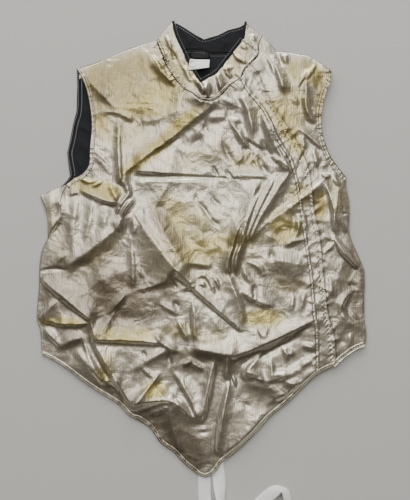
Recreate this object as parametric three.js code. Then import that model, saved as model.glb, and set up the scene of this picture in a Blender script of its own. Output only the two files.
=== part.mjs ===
// A sleeveless fencing lame of metallic cloth, laid out flat, front side up, with its crotch strap.
// Millimetres. +Z is up from the surface it lies on, +Y points to the collar, +X to the right from above.
// The tables are in the pattern frame, whose zero is the middle of the chest. The last lines centre it.
import * as THREE from 'three';

// Cloth and seams
const LAME_THICKNESS = 1.5;
const BACK_THICKNESS = 1.2;
const LINING_THICKNESS = 1.0;
const LABEL_THICKNESS = 1.0;
const SEAM_GAP = 0.3;

// How the front lies on the back
const ON_THE_BACK = BACK_THICKNESS + SEAM_GAP;
const LINING_STEP = { height: LINING_THICKNESS + SEAM_GAP + 0.1, reach: 8 };
const LOFT = { height: 4.5, reach: 60 };
const NECK_RISE = { x: -6, y: 268, height: 7, reach: 80 };
const OVERLAP_STEP = { height: LAME_THICKNESS + SEAM_GAP, reach: 26 };
const TAB_STEP = { height: LAME_THICKNESS + 0.8, from: 22, to: 42 };
const FOLD_FADE = 18;
const FOLD_SHARPNESS = 1.15;
const LEAST_SPREAD = 0.45;
const EDGE_FADE = { from: -5, to: 11 };

// Crotch strap
const STRAP_WIDTH = 22;
const STRAP_THICKNESS = 1.2;
const STRAP_STEP = 12;

// Edge bindings of the collar
const BINDING_WIDTH = 3.4;

// Mesh sizes
const EDGE_STEP = 9;
const FRONT_SPACING = { crest: 12, fill: 19 };
const COLLAR_SPACING = { crest: 10, fill: 14 };
const FLAT_SPACING = { crest: 15, fill: 60 };
const LABEL_STEP = 5;
const CLEARANCE = 0.6;
const FOOT_STEP = 1.5;
const ROW_RATIO = Math.sqrt(3) / 2;
const FAR_AWAY = 1e5;

// Edges of the laid-out vest. Each runs through its points in order.
const EDGES = {
  collarLeftOuter: [[-56, 388], [-71, 371], [-82, 356]],
  shoulderLeft: [[-82, 356], [-94, 352], [-126, 343], [-155, 330], [-192, 316], [-218, 308]],
  armholeFrontLeft: [[-218, 308], [-206, 286], [-197, 255], [-192, 213], [-195, 170], [-196, 146],
    [-206, 130], [-224, 120], [-236, 110]],
  armholeBackLeft: [[-218, 308], [-217, 272], [-218, 236], [-224, 214], [-229, 187], [-234, 165],
    [-232, 148], [-229, 126], [-238, 115], [-246, 106]],
  wrapTop: [[-246, 106], [-260, 102], [-272, 95], [-280, 93]],
  wrapRidge: [[-236, 110], [-243, 92], [-245, 72], [-247, 53], [-254, 39], [-267, 20]],
  sideLeftUpper: [[-280, 93], [-274, 75], [-268, 54], [-267, 20]],
  sideLeft: [[-267, 20], [-275, 5], [-280, -14], [-282, -42], [-282, -63], [-286, -114], [-280, -136],
    [-277, -178]],
  hemLeft: [[-277, -178], [-262, -185], [-238, -200], [-216, -217], [-193, -234], [-170, -248],
    [-148, -262], [-126, -284], [-114, -287], [-93, -303], [-75, -328], [-55, -342], [-37, -361],
    [-10, -383]],
  hemPoint: [[-10, -383], [0, -386], [10, -383]],
  hemRight: [[10, -383], [20, -374], [29, -360], [44, -350], [69, -328], [88, -308], [110, -284],
    [143, -257], [168, -233], [190, -212]],
  hemFly: [[190, -212], [203, -204], [221, -196]],
  hemSide: [[221, -196], [229, -188], [245, -175], [258, -167], [271, -162]],
  sideRight: [[271, -162], [274, -156], [274, -136], [271, -119], [271, -75], [271, -37], [260, -8],
    [246, 27], [246, 63], [245, 85], [240, 105], [240, 121]],
  armholeRight: [[240, 121], [226, 138], [212, 158], [204, 177], [199, 195], [197, 214], [197, 236],
    [203, 263], [210, 280], [214, 298], [211, 308]],
  shoulderRight: [[211, 308], [195, 318], [173, 330], [151, 334], [133, 337], [121, 336]],
  neckSideRight: [[121, 336], [114, 347], [97, 363]],
  collarRightOuter: [[97, 363], [83, 374], [76, 379], [71, 386]],
  collarBackTop: [[-56, 388], [-37, 379], [-15, 365], [-2, 358], [22, 365], [40, 374], [60, 379],
    [71, 386]],
  backNeckSeam: [[-82, 356], [-33, 338], [-4, 338], [10, 332], [34, 332], [84, 333], [121, 336]],
  collarFrontTopLeft: [[-56, 388], [-50, 364], [-39, 340], [-30, 320], [-19, 300], [-8, 283]],
  collarFrontTopRight: [[-8, 283], [19, 299], [34, 318], [53, 342], [65, 358]],
  collarSideTop: [[65, 358], [68, 372], [71, 386]],
  tabEndUpper: [[65, 358], [76, 350], [91, 337]],
  tabEndLower: [[91, 337], [87, 328], [75, 314]],
  neckSeamFly: [[75, 314], [66, 304], [61, 290]],
  neckSeamRight: [[61, 290], [44, 280], [27, 262], [20, 255], [7, 250], [-7, 252]],
  neckSeamLeft: [[-7, 252], [-15, 260], [-25, 267], [-36, 272], [-48, 287], [-60, 303], [-68, 320],
    [-75, 340], [-82, 356]],
  collarSideSeam: [[91, 337], [92, 350], [97, 363]],
  flySeam: [[61, 290], [73, 268], [94, 243], [110, 216], [119, 192], [141, 158], [149, 138], [158, 95],
    [170, 15], [175, -18], [180, -54], [184, -107], [188, -133], [189, -163], [190, -212]],
  flyFree: [[75, 314], [92, 295], [104, 265], [120, 240], [138, 212], [155, 185], [168, 158],
    [177, 133], [184, 76], [195, 19], [200, -30], [207, -97], [216, -133], [221, -160], [221, -196]],
};

// Hidden edges of the layers that lie underneath
const LINING_EDGE = [[-212, 292], [-217, 272], [-218, 236], [-224, 214], [-229, 187], [-234, 165],
  [-232, 148], [-229, 126], [-236, 115], [-238, 96], [-240, 40], [-262, 4], [-272, -60], [-274, -115],
  [-264, -170], [-200, -215], [-124, -266], [-92, -290], [-62, -318], [-24, -346], [24, -336],
  [70, -310], [120, -262], [180, -208], [252, -158], [262, -120], [260, -40], [236, 26], [236, 80],
  [228, 118], [202, 150], [188, 195], [186, 236], [200, 290], [150, 324], [110, 326], [88, 318],
  [34, 332], [10, 332], [-4, 338], [-33, 338], [-76, 334], [-126, 332], [-190, 306]];
const COLLAR_LINING_EDGE = [[-50, 386], [-37, 379], [-15, 365], [-2, 358], [22, 365], [40, 374],
  [60, 379], [66, 383], [72, 360], [80, 340], [34, 334], [10, 334], [-4, 340], [-33, 340], [-64, 342],
  [-62, 364]];
const BACK_HEM = [[-277, -178], [-238, -200], [-193, -234], [-148, -262], [-126, -284], [-93, -303],
  [-55, -335], [-26, -350], [18, -348], [30, -336], [69, -320], [110, -282], [143, -257], [190, -212],
  [229, -188], [271, -162]];
const COLLAR_SIDE_HIDDEN = [[65, 358], [58, 345], [74, 324], [91, 337]];

// Blank labels inside the neck: corners in order
const WOVEN_LABEL = [[-25, 337], [9, 333], [8, 324], [-26, 325]];
const SIZE_LABEL = [[-25, 324], [8, 323], [7, 308], [-29, 303]];
const SIZE_LABEL_RAMP = { lift: 11, run: 14, x: -14, slant: 0.6 };

// Largest folds of the front. Each is a crest from one point to another: rise is its height at the start,
// the middle and the end, left and right are how wide its flanks are as seen along the crest, and bow bends
// the crest to the left.
const FOLDS = [
  // Chest, left of the neck
  { from: [20, 250], to: [-63, 184], rise: [3, 4, 4], left: 9, right: 46, bow: 0 },
  { from: [-55, 190], to: [-134, 131], rise: [4, 5, 3], left: 10, right: 46, bow: -2 },
  { from: [-114, 133], to: [29, 125], rise: [6, 3, 2], left: 44, right: 8, bow: 0 },
  { from: [-114, 116], to: [107, 119], rise: [2, 2, 1], left: 5, right: 26, bow: 0 },
  { from: [-172, 233], to: [-121, 216], rise: [1, 5, 2], left: 38, right: 9, bow: 6 },
  { from: [-163, 318], to: [-171, 256], rise: [3, 4, 1], left: 40, right: 12, bow: 1 },
  { from: [-197, 289], to: [-146, 235], rise: [2, 4, 1], left: 28, right: 12, bow: -2 },
  { from: [-146, 226], to: [-142, 116], rise: [1, 5, 8], left: 26, right: 15, bow: -2 },
  { from: [-88, 328], to: [-42, 275], rise: [2, 4, 1], left: 7, right: 18, bow: -3 },
  { from: [-112, 219], to: [-60, 232], rise: [1, 3, 1], left: 20, right: 12, bow: -6 },
  { from: [-116, 264], to: [-44, 269], rise: [1, 3, 1], left: 24, right: 12, bow: -5 },
  // Left armpit and the knot beside it
  { from: [-246, 86], to: [-248, 48], rise: [3, 4, 3], left: 13, right: 10, bow: 3 },
  { from: [-248, 54], to: [-268, 20], rise: [4, 4, 1], left: 12, right: 8, bow: -2 },
  { from: [-213, 102], to: [-145, 78], rise: [1, 5, 4], left: 32, right: 9, bow: -3 },
  { from: [-163, 112], to: [-145, 80], rise: [1, 4, 2], left: 18, right: 12, bow: 0 },
  { from: [-139, 117], to: [-129, 94], rise: [5, 5, 4], left: 10, right: 10, bow: 2 },
  { from: [-127, 96], to: [-149, 60], rise: [4, 6, 4], left: 9, right: 8, bow: -3 },
  { from: [-124, 86], to: [-146, 39], rise: [5, 7, 6], left: 20, right: 18, bow: -3 },
  { from: [-143, 42], to: [-236, -29], rise: [5, 7, 2], left: 22, right: 46, bow: 2 },
  { from: [-190, 85], to: [-204, 17], rise: [1, 4, 1], left: 16, right: 18, bow: 2 },
  // Left side, down to the hem
  { from: [-277, -51], to: [-192, -119], rise: [3, 7, 5], left: 44, right: 9, bow: 0 },
  { from: [-282, -116], to: [-249, -84], rise: [2, 5, 2], left: 12, right: 26, bow: 0 },
  { from: [-194, -119], to: [-189, -151], rise: [4, 4, 5], left: 12, right: 14, bow: 2 },
  { from: [-189, -152], to: [-76, -158], rise: [4, 6, 4], left: 42, right: 10, bow: 2 },
  { from: [-185, -150], to: [-150, -102], rise: [3, 3, 1], left: 14, right: 16, bow: 0 },
  { from: [-277, -119], to: [-199, -124], rise: [1, 4, 3], left: 28, right: 9, bow: -4 },
  { from: [-250, -167], to: [-206, -148], rise: [2, 5, 3], left: 20, right: 14, bow: 3 },
  { from: [-216, -170], to: [-175, -223], rise: [2, 6, 4], left: 16, right: 26, bow: 0 },
  { from: [-189, -155], to: [-122, -265], rise: [5, 7, 10], left: 38, right: 14, bow: -1 },
  { from: [-122, -265], to: [-76, -207], rise: [7, 7, 1], left: 16, right: 18, bow: 0 },
  { from: [-122, -265], to: [-49, -256], rise: [7, 10, 10], left: 28, right: 20, bow: 6 },
  { from: [-49, -256], to: [-14, -288], rise: [10, 8, 5], left: 20, right: 26, bow: 0 },
  { from: [-52, -208], to: [-12, -282], rise: [2, 6, 5], left: 26, right: 9, bow: 3 },
  { from: [-60, -264], to: [-41, -345], rise: [4, 5, 1], left: 18, right: 20, bow: -2 },
  // Middle of the front
  { from: [-122, 68], to: [-46, -37], rise: [4, 9, 12], left: 58, right: 50, bow: -3 },
  { from: [-46, -37], to: [-20, -62], rise: [12, 9, 7], left: 36, right: 13, bow: 0 },
  { from: [-20, -64], to: [61, -136], rise: [6, 6, 3], left: 34, right: 8, bow: 0 },
  { from: [-60, 114], to: [-90, 65], rise: [1, 3, 2], left: 12, right: 20, bow: 0 },
  { from: [-90, 63], to: [-39, -20], rise: [2, 4, 2], left: 28, right: 20, bow: 0 },
  { from: [-124, 5], to: [-121, -68], rise: [1, 5, 3], left: 20, right: 14, bow: 0 },
  { from: [-119, -68], to: [-58, -48], rise: [1, 4, 5], left: 26, right: 12, bow: -3 },
  { from: [-22, -85], to: [-19, -150], rise: [2, 5, 4], left: 24, right: 10, bow: 2 },
  { from: [-46, -119], to: [-29, -153], rise: [1, 4, 3], left: 14, right: 9, bow: 0 },
  { from: [-82, -145], to: [-48, -172], rise: [3, 5, 3], left: 14, right: 9, bow: -3 },
  { from: [39, -42], to: [46, 2], rise: [3, 6, 6], left: 22, right: 9, bow: 3 },
  { from: [46, 2], to: [68, 56], rise: [6, 6, 3], left: 14, right: 9, bow: 4 },
  { from: [51, -37], to: [60, 8], rise: [4, 6, 6], left: 7, right: 15, bow: 3 },
  { from: [60, 8], to: [90, 94], rise: [6, 6, 4], left: 9, right: 13, bow: 3 },
  { from: [39, -44], to: [65, -124], rise: [4, 6, 2], left: 13, right: 28, bow: 3 },
  { from: [60, -68], to: [114, -95], rise: [2, 5, 1], left: 26, right: 10, bow: -5 },
  { from: [97, -20], to: [168, -27], rise: [2, 6, 4], left: 24, right: 38, bow: 5 },
  { from: [90, 114], to: [60, 18], rise: [2, 6, 4], left: 12, right: 26, bow: -3 },
  { from: [116, 118], to: [70, 17], rise: [3, 7, 5], left: 12, right: 14, bow: -3 },
  { from: [142, 131], to: [77, 20], rise: [5, 6, 3], left: 18, right: 11, bow: -4 },
  { from: [73, 13], to: [140, 70], rise: [2, 6, 4], left: 12, right: 34, bow: 4 },
  { from: [136, 68], to: [212, 130], rise: [4, 5, 2], left: 10, right: 24, bow: -3 },
  { from: [133, 5], to: [165, 18], rise: [1, 4, 2], left: 24, right: 9, bow: 2 },
  // Right of the neck
  { from: [27, 256], to: [62, 238], rise: [3, 4, 1], left: 10, right: 14, bow: 2 },
  { from: [38, 222], to: [70, 174], rise: [1, 5, 2], left: 11, right: 11, bow: 2 },
  { from: [61, 260], to: [80, 196], rise: [3, 6, 3], left: 18, right: 13, bow: 4 },
  { from: [97, 230], to: [143, 136], rise: [3, 6, 5], left: 10, right: 14, bow: -3 },
  { from: [121, 156], to: [143, 136], rise: [3, 6, 5], left: 9, right: 18, bow: 0 },
  // Lower front
  { from: [-17, -168], to: [49, -180], rise: [6, 8, 7], left: 48, right: 24, bow: 2 },
  { from: [46, -181], to: [182, -119], rise: [6, 7, 3], left: 46, right: 12, bow: -3 },
  { from: [15, -190], to: [-7, -289], rise: [3, 8, 6], left: 12, right: 22, bow: 0 },
  { from: [42, -221], to: [20, -343], rise: [2, 7, 4], left: 16, right: 10, bow: -2 },
  { from: [66, -211], to: [97, -173], rise: [6, 6, 2], left: 11, right: 24, bow: 0 },
  { from: [66, -211], to: [112, -223], rise: [6, 6, 4], left: 26, right: 28, bow: 0 },
  { from: [112, -223], to: [146, -254], rise: [4, 5, 1], left: 18, right: 22, bow: 0 },
  { from: [112, -187], to: [114, -221], rise: [2, 5, 4], left: 12, right: 16, bow: 0 },
  { from: [128, -216], to: [160, -224], rise: [1, 4, 1], left: 14, right: 12, bow: -5 },
  { from: [-3, -306], to: [5, -366], rise: [7, 6, 2], left: 16, right: 16, bow: 0 },
  // Side panel
  { from: [110, 330], to: [133, 268], rise: [2, 5, 4], left: 16, right: 9, bow: 2 },
  { from: [171, 288], to: [170, 244], rise: [1, 5, 6], left: 16, right: 10, bow: 0 },
  { from: [170, 244], to: [188, 212], rise: [6, 5, 1], left: 20, right: 12, bow: -2 },
  { from: [160, 206], to: [199, 172], rise: [2, 4, 2], left: 14, right: 8, bow: 0 },
  { from: [182, 170], to: [189, 139], rise: [1, 4, 1], left: 10, right: 10, bow: 2 },
  { from: [204, 112], to: [218, 62], rise: [2, 5, 5], left: 18, right: 9, bow: 2 },
  { from: [218, 62], to: [220, 28], rise: [5, 6, 3], left: 12, right: 9, bow: 0 },
  { from: [226, 108], to: [222, 66], rise: [2, 5, 4], left: 16, right: 12, bow: 0 },
  { from: [222, 66], to: [245, 26], rise: [4, 4, 1], left: 13, right: 10, bow: 0 },
  { from: [218, 22], to: [259, -30], rise: [3, 7, 3], left: 11, right: 9, bow: -3 },
  { from: [229, -105], to: [268, -134], rise: [6, 7, 2], left: 12, right: 26, bow: -2 },
  { from: [246, -73], to: [230, -100], rise: [1, 4, 5], left: 12, right: 16, bow: -3 },
];

// Crotch strap, as it lies: roll is how far the band leans over from flat, in degrees.
const STRAP_STATIONS = [
  { x: -1, y: -366, roll: 0 },
  { x: -1, y: -392, roll: 0 },
  { x: 0, y: -425, roll: 4 },
  { x: 4, y: -450, roll: 30 },
  { x: 20, y: -480, roll: 70 },
  { x: 70, y: -498, roll: 80 },
  { x: 122, y: -480, roll: 72 },
  { x: 140, y: -446, roll: 60 },
  { x: 141, y: -425, roll: 52 },
  { x: 137, y: -411, roll: 56 },
  { x: 129, y: -404, roll: 74 },
  { x: 120, y: -407, roll: 40 },
  { x: 106, y: -419, roll: 8 },
  { x: 92, y: -432, roll: 10 },
  { x: 80, y: -448, roll: 60 },
  { x: 60, y: -460, roll: 78 },
  { x: 38, y: -450, roll: 72 },
  { x: 28, y: -425, roll: 52 },
  { x: 25, y: -400, roll: 14 },
  { x: 23, y: -381, roll: 0 },
  { x: 20, y: -358, roll: 0 },
];

// Materials
const METALLIC_CLOTH = new THREE.MeshStandardMaterial({ color: '#c3bcab', roughness: 0.4, metalness: 0.75 });
const DARK_LINING = new THREE.MeshStandardMaterial({ color: '#2b2c2f', roughness: 0.85, metalness: 0 });
const WOVEN_TAPE = new THREE.MeshStandardMaterial({ color: '#111112', roughness: 0.7, metalness: 0 });
const WHITE_SATIN = new THREE.MeshStandardMaterial({ color: '#d9dad4', roughness: 0.6, metalness: 0 });
const WHITE_ELASTIC = new THREE.MeshStandardMaterial({ color: '#e6e6e4', roughness: 0.8, metalness: 0 });

const lame = new THREE.Group();

function toPoint([x, y]) {
  return new THREE.Vector2(x, y);
}

// 0 at the first value, 1 at the second, and smooth between them
function smoothBetween(zero, one, value) {
  const t = THREE.MathUtils.clamp((value - zero) / (one - zero), 0, 1);
  return t * t * (3 - 2 * t);
}

// Points along a smooth edge, its first point included and its last left out
function sampleEdge(points, step = EDGE_STEP) {
  const curve = new THREE.SplineCurve(points.map(toPoint));
  const count = Math.max(1, Math.round(curve.getLength() / step));
  return curve.getSpacedPoints(count).slice(0, -1);
}

function backwards(edge) {
  return [...edge].reverse();
}

// A closed outline from edges that follow each other, drawn back from its seams by half the seam gap
function outlineOf(edges) {
  const points = edges.flatMap((edge) => sampleEdge(edge));
  return inset(points, SEAM_GAP / 2);
}

function signedArea(points) {
  let area = 0;
  points.forEach((p, i) => {
    const q = points[(i + 1) % points.length];
    area += (p.x * q.y - q.x * p.y) / 2;
  });
  return area;
}

function inset(points, distance) {
  const side = Math.sign(signedArea(points));
  return points.map((p, i) => {
    const before = points[(i + points.length - 1) % points.length];
    const after = points[(i + 1) % points.length];
    const along = after.clone().sub(before).normalize();
    return new THREE.Vector2(p.x - side * along.y * distance, p.y + side * along.x * distance);
  });
}

function isInside(point, outline) {
  let inside = false;
  outline.forEach((a, i) => {
    const b = outline[(i + 1) % outline.length];
    const crosses = (a.y > point.y) !== (b.y > point.y);
    if (crosses && point.x < ((b.x - a.x) * (point.y - a.y)) / (b.y - a.y) + a.x) inside = !inside;
  });
  return inside;
}

function distanceToLine(point, line, closed) {
  let nearest = Infinity;
  const last = closed ? line.length : line.length - 1;
  for (let i = 0; i < last; i += 1) {
    const a = line[i];
    const b = line[(i + 1) % line.length];
    const along = b.clone().sub(a);
    const t = THREE.MathUtils.clamp(point.clone().sub(a).dot(along) / along.lengthSq(), 0, 1);
    nearest = Math.min(nearest, point.distanceTo(a.clone().addScaledVector(along, t)));
  }
  return nearest;
}

// Outlines of every panel
const SILHOUETTE_EDGES = [
  EDGES.collarLeftOuter, EDGES.shoulderLeft, EDGES.armholeBackLeft, EDGES.wrapTop, EDGES.sideLeftUpper,
  EDGES.sideLeft, EDGES.hemLeft, EDGES.hemPoint, EDGES.hemRight, EDGES.hemFly, EDGES.hemSide, EDGES.sideRight,
  EDGES.armholeRight, EDGES.shoulderRight, EDGES.neckSideRight, EDGES.collarRightOuter,
  backwards(EDGES.collarBackTop),
];
const silhouette = outlineOf(SILHOUETTE_EDGES);
const liningOutline = LINING_EDGE.map(toPoint);
const collarLiningOutline = COLLAR_LINING_EDGE.map(toPoint);
const frontMainOutline = outlineOf([
  EDGES.shoulderLeft, EDGES.armholeFrontLeft, EDGES.wrapRidge, EDGES.sideLeft, EDGES.hemLeft, EDGES.hemPoint,
  EDGES.hemRight, backwards(EDGES.flySeam), EDGES.neckSeamRight, EDGES.neckSeamLeft,
]);
const frontSideOutline = outlineOf([
  EDGES.flySeam, EDGES.hemFly, EDGES.hemSide, EDGES.sideRight, EDGES.armholeRight, EDGES.shoulderRight,
  EDGES.neckSideRight, backwards(EDGES.collarSideSeam), EDGES.tabEndLower, EDGES.neckSeamFly,
]);
const wrapOutline = outlineOf([
  EDGES.wrapTop, EDGES.sideLeftUpper, backwards(EDGES.wrapRidge), [[-236, 110], [-246, 106]],
]);
const collarFrontOutline = outlineOf([
  EDGES.collarFrontTopLeft, EDGES.collarFrontTopRight, EDGES.tabEndUpper, EDGES.tabEndLower,
  EDGES.neckSeamFly,
  EDGES.neckSeamRight, EDGES.neckSeamLeft, backwards(EDGES.collarLeftOuter),
]);
const collarSideOutline = outlineOf([
  EDGES.collarRightOuter, backwards(EDGES.collarSideTop), COLLAR_SIDE_HIDDEN, EDGES.collarSideSeam,
]);
const flySeamLine = sampleEdge(EDGES.flySeam);
const flyFreeLine = sampleEdge(EDGES.flyFree);
const flyStripOutline = [
  EDGES.flySeam, EDGES.hemFly, backwards(EDGES.flyFree), EDGES.neckSeamFly,
].flatMap((edge) => sampleEdge(edge));
const tabLine = [...sampleEdge(EDGES.tabEndUpper), ...sampleEdge(EDGES.tabEndLower)];

// One crest: how far a point is along it, from 0 to 1, and how far beside it, positive on the left
function placeOnFold(fold, x, y) {
  const dx = fold.to[0] - fold.from[0];
  const dy = fold.to[1] - fold.from[1];
  const length = Math.hypot(dx, dy);
  const along = ((x - fold.from[0]) * dx + (y - fold.from[1]) * dy) / (length * length);
  const beside = ((y - fold.from[1]) * dx - (x - fold.from[0]) * dy) / length;
  const bend = fold.bow * 4 * along * (1 - along);
  return { along, beside: beside - bend, length };
}

// How high a crest stands, from its start at 0 to its end at 1
function riseAt(fold, along) {
  const t = THREE.MathUtils.clamp(along, 0, 1);
  const [start, middle, end] = fold.rise;
  return start * (1 - t) * (1 - 2 * t) + middle * 4 * t * (1 - t) + end * t * (2 * t - 1);
}

// The share of its full width that a fold has there: it is narrower where it is lower
function spreadAt(fold, along) {
  return THREE.MathUtils.lerp(LEAST_SPREAD, 1, riseAt(fold, along) / Math.max(...fold.rise));
}

function foldHeight(x, y) {
  let height = 0;
  FOLDS.forEach((fold) => {
    const place = placeOnFold(fold, x, y);
    const width = (place.beside > 0 ? fold.left : fold.right) * spreadAt(fold, place.along);
    const across = 1 - Math.abs(place.beside) / width;
    const fromEnd = Math.min(place.along, 1 - place.along) * place.length;
    if (across <= 0 || fromEnd <= -FOLD_FADE / 2) return;
    const fade = smoothBetween(-FOLD_FADE / 2, FOLD_FADE / 2, fromEnd);
    height += riseAt(fold, place.along) * fade * across ** FOLD_SHARPNESS;
  });
  return height;
}

// Underside of a smooth upper layer: it rests on the back at its edges, clears the lining and lofts inside
function loftUnderside(x, y) {
  const point = new THREE.Vector2(x, y);
  const linings = [liningOutline, collarLiningOutline];
  const onLining = linings.some((outline) => isInside(point, outline));
  const fromLinings = linings.map((outline) => distanceToLine(point, outline, true));
  const besideLining = onLining ? 0 : Math.min(...fromLinings);
  const step = LINING_STEP.height * smoothBetween(LINING_STEP.reach, 0, besideLining);
  const loft = LOFT.height * smoothBetween(0, LOFT.reach, distanceToLine(point, silhouette, true));
  const fromNeck = Math.hypot(x - NECK_RISE.x, y - NECK_RISE.y);
  return ON_THE_BACK + step + loft + NECK_RISE.height * smoothBetween(NECK_RISE.reach, 0, fromNeck);
}

// Underside of the folded front, flatter at the outline, where it is sewn to the back
function frontUnderside(x, y) {
  const fromEdge = distanceToLine(toPoint([x, y]), silhouette, true);
  return loftUnderside(x, y) + foldHeight(x, y) * smoothBetween(EDGE_FADE.from, EDGE_FADE.to, fromEdge);
}

// The main panel climbs to the level of the fly strip at their seam
function frontMainUnderside(x, y) {
  const fromSeam = distanceToLine(toPoint([x, y]), flySeamLine, false);
  return frontUnderside(x, y) + OVERLAP_STEP.height * smoothBetween(OVERLAP_STEP.reach, 0, fromSeam);
}

function flyStripUnderside(x, y) {
  return frontUnderside(x, y) + OVERLAP_STEP.height;
}

// The collar is smooth and stiff. Its tab climbs over the collar side that comes out from under it.
function collarFrontUnderside(x, y) {
  const fromTab = distanceToLine(toPoint([x, y]), tabLine, false);
  return loftUnderside(x, y) + TAB_STEP.height * smoothBetween(TAB_STEP.to, TAB_STEP.from, fromTab);
}

// Points where a panel is bent: along each crest, along the feet of its flanks, and loosely between them
function meshPoints(outline, spacing, crestLines) {
  const points = [...outline];
  const clear = (candidate, gap) => points.every((p) => p.distanceTo(candidate) > gap);
  const offer = (candidate, gap) => {
    const fromEdge = distanceToLine(candidate, outline, true);
    const fits = isInside(candidate, outline) && fromEdge > EDGE_STEP * CLEARANCE;
    if (fits && clear(candidate, gap)) points.push(candidate);
  };
  crestLines.forEach((line) => line.forEach((p) => offer(p, spacing.crest * CLEARANCE)));
  const box = new THREE.Box2().setFromPoints(outline);
  const rowStep = spacing.fill * ROW_RATIO;
  let row = 0;
  for (let y = box.min.y; y < box.max.y; y += rowStep) {
    const shift = row % 2 ? spacing.fill / 2 : 0;
    for (let x = box.min.x + shift; x < box.max.x; x += spacing.fill) {
      offer(new THREE.Vector2(x, y), spacing.fill * CLEARANCE);
    }
    row += 1;
  }
  return points;
}

function crestLine(fold, offset, step) {
  const length = Math.hypot(fold.to[0] - fold.from[0], fold.to[1] - fold.from[1]);
  const ux = (fold.to[0] - fold.from[0]) / length;
  const uy = (fold.to[1] - fold.from[1]) / length;
  const count = Math.max(1, Math.round(length / step));
  return Array.from({ length: count + 1 }, (_, i) => {
    const along = i / count;
    const beside = offset * spreadAt(fold, along) + fold.bow * 4 * along * (1 - along);
    return new THREE.Vector2(
      fold.from[0] + ux * along * length - uy * beside,
      fold.from[1] + uy * along * length + ux * beside,
    );
  });
}

function foldLines(step) {
  const crests = FOLDS.map((fold) => crestLine(fold, 0, step));
  const feet = FOLDS.flatMap((fold) => [
    crestLine(fold, fold.left, step * FOOT_STEP),
    crestLine(fold, -fold.right, step * FOOT_STEP),
  ]);
  return [...crests, ...feet];
}

// Delaunay triangles over a set of points, each with its corners anticlockwise
function triangulate(points) {
  const farCorners = [[-FAR_AWAY, -FAR_AWAY], [FAR_AWAY, -FAR_AWAY], [0, FAR_AWAY]].map(toPoint);
  const corners = [...points, ...farCorners];
  let triangles = [circled([points.length, points.length + 1, points.length + 2], corners)];
  points.forEach((point, index) => {
    const open = new Map();
    triangles = triangles.filter((triangle) => {
      const dx = point.x - triangle.x;
      const dy = point.y - triangle.y;
      if (dx * dx + dy * dy >= triangle.reach) return true;
      triangle.corners.forEach((a, i) => {
        const b = triangle.corners[(i + 1) % 3];
        if (!open.delete(`${b},${a}`)) open.set(`${a},${b}`, [a, b]);
      });
      return false;
    });
    open.forEach(([a, b]) => triangles.push(circled([a, b, index], corners)));
  });
  return triangles.map((triangle) => triangle.corners).filter((c) => c.every((i) => i < points.length));
}

// A triangle with the centre and squared radius of the circle through its corners
function circled(corners, points) {
  const [a, b, c] = corners.map((i) => points[i]);
  const d = 2 * (a.x * (b.y - c.y) + b.x * (c.y - a.y) + c.x * (a.y - b.y));
  const aa = a.lengthSq();
  const bb = b.lengthSq();
  const cc = c.lengthSq();
  const x = (aa * (b.y - c.y) + bb * (c.y - a.y) + cc * (a.y - b.y)) / d;
  const y = (aa * (c.x - b.x) + bb * (a.x - c.x) + cc * (b.x - a.x)) / d;
  return { corners, x, y, reach: (a.x - x) ** 2 + (a.y - y) ** 2 };
}

function trianglesInside(triangles, points, outline) {
  return triangles.filter((corners) => {
    const centre = new THREE.Vector2();
    corners.forEach((i) => centre.addScaledVector(points[i], 1 / 3));
    return isInside(centre, outline);
  });
}

// A wall of cloth over the triangles: its top, its underside and the cut edge between them
function clothWall(points, triangles, underside, thickness) {
  const used = [...new Set(triangles.flat())];
  const place = new Map(used.map((index, order) => [index, order]));
  const positions = [];
  used.forEach((index) => {
    const { x, y } = points[index];
    positions.push(x, y, underside(x, y) + thickness);
  });
  used.forEach((index) => {
    const { x, y } = points[index];
    positions.push(x, y, underside(x, y));
  });
  const below = used.length;
  const faces = [];
  const rim = new Map();
  triangles.forEach((corners) => {
    const [a, b, c] = corners.map((i) => place.get(i));
    faces.push(a, b, c, below + a, below + c, below + b);
    [[a, b], [b, c], [c, a]].forEach(([p, q]) => {
      if (!rim.delete(`${q},${p}`)) rim.set(`${p},${q}`, [p, q]);
    });
  });
  rim.forEach(([p, q]) => faces.push(p, below + p, below + q, p, below + q, q));
  return closedGeometry(positions, faces);
}

function closedGeometry(positions, faces) {
  const geometry = new THREE.BufferGeometry();
  geometry.setAttribute('position', new THREE.Float32BufferAttribute(positions, 3));
  geometry.setIndex(faces);
  geometry.computeVertexNormals();
  return geometry;
}

// A band with a rectangular section, swept through stations that each give their four corners
function bandGeometry(sections) {
  const positions = sections.flat(2);
  const faces = [0, 2, 1, 0, 3, 2];
  for (let i = 0; i + 1 < sections.length; i += 1) {
    const a = i * 4;
    for (let j = 0; j < 4; j += 1) {
      const k = (j + 1) % 4;
      faces.push(a + j, a + k, a + 4 + k, a + j, a + 4 + k, a + 4 + j);
    }
  }
  const end = (sections.length - 1) * 4;
  faces.push(end, end + 1, end + 2, end, end + 2, end + 3);
  return closedGeometry(positions, faces);
}

function add(name, geometry, material) {
  const mesh = new THREE.Mesh(geometry, material);
  mesh.name = name;
  lame.add(mesh);
  return mesh;
}

function addPanel(name, outline, spacing, lines, underside, thickness, material) {
  const points = meshPoints(outline, spacing, lines);
  const triangles = trianglesInside(triangulate(points), points, outline);
  return add(name, clothWall(points, triangles, underside, thickness), material);
}

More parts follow.
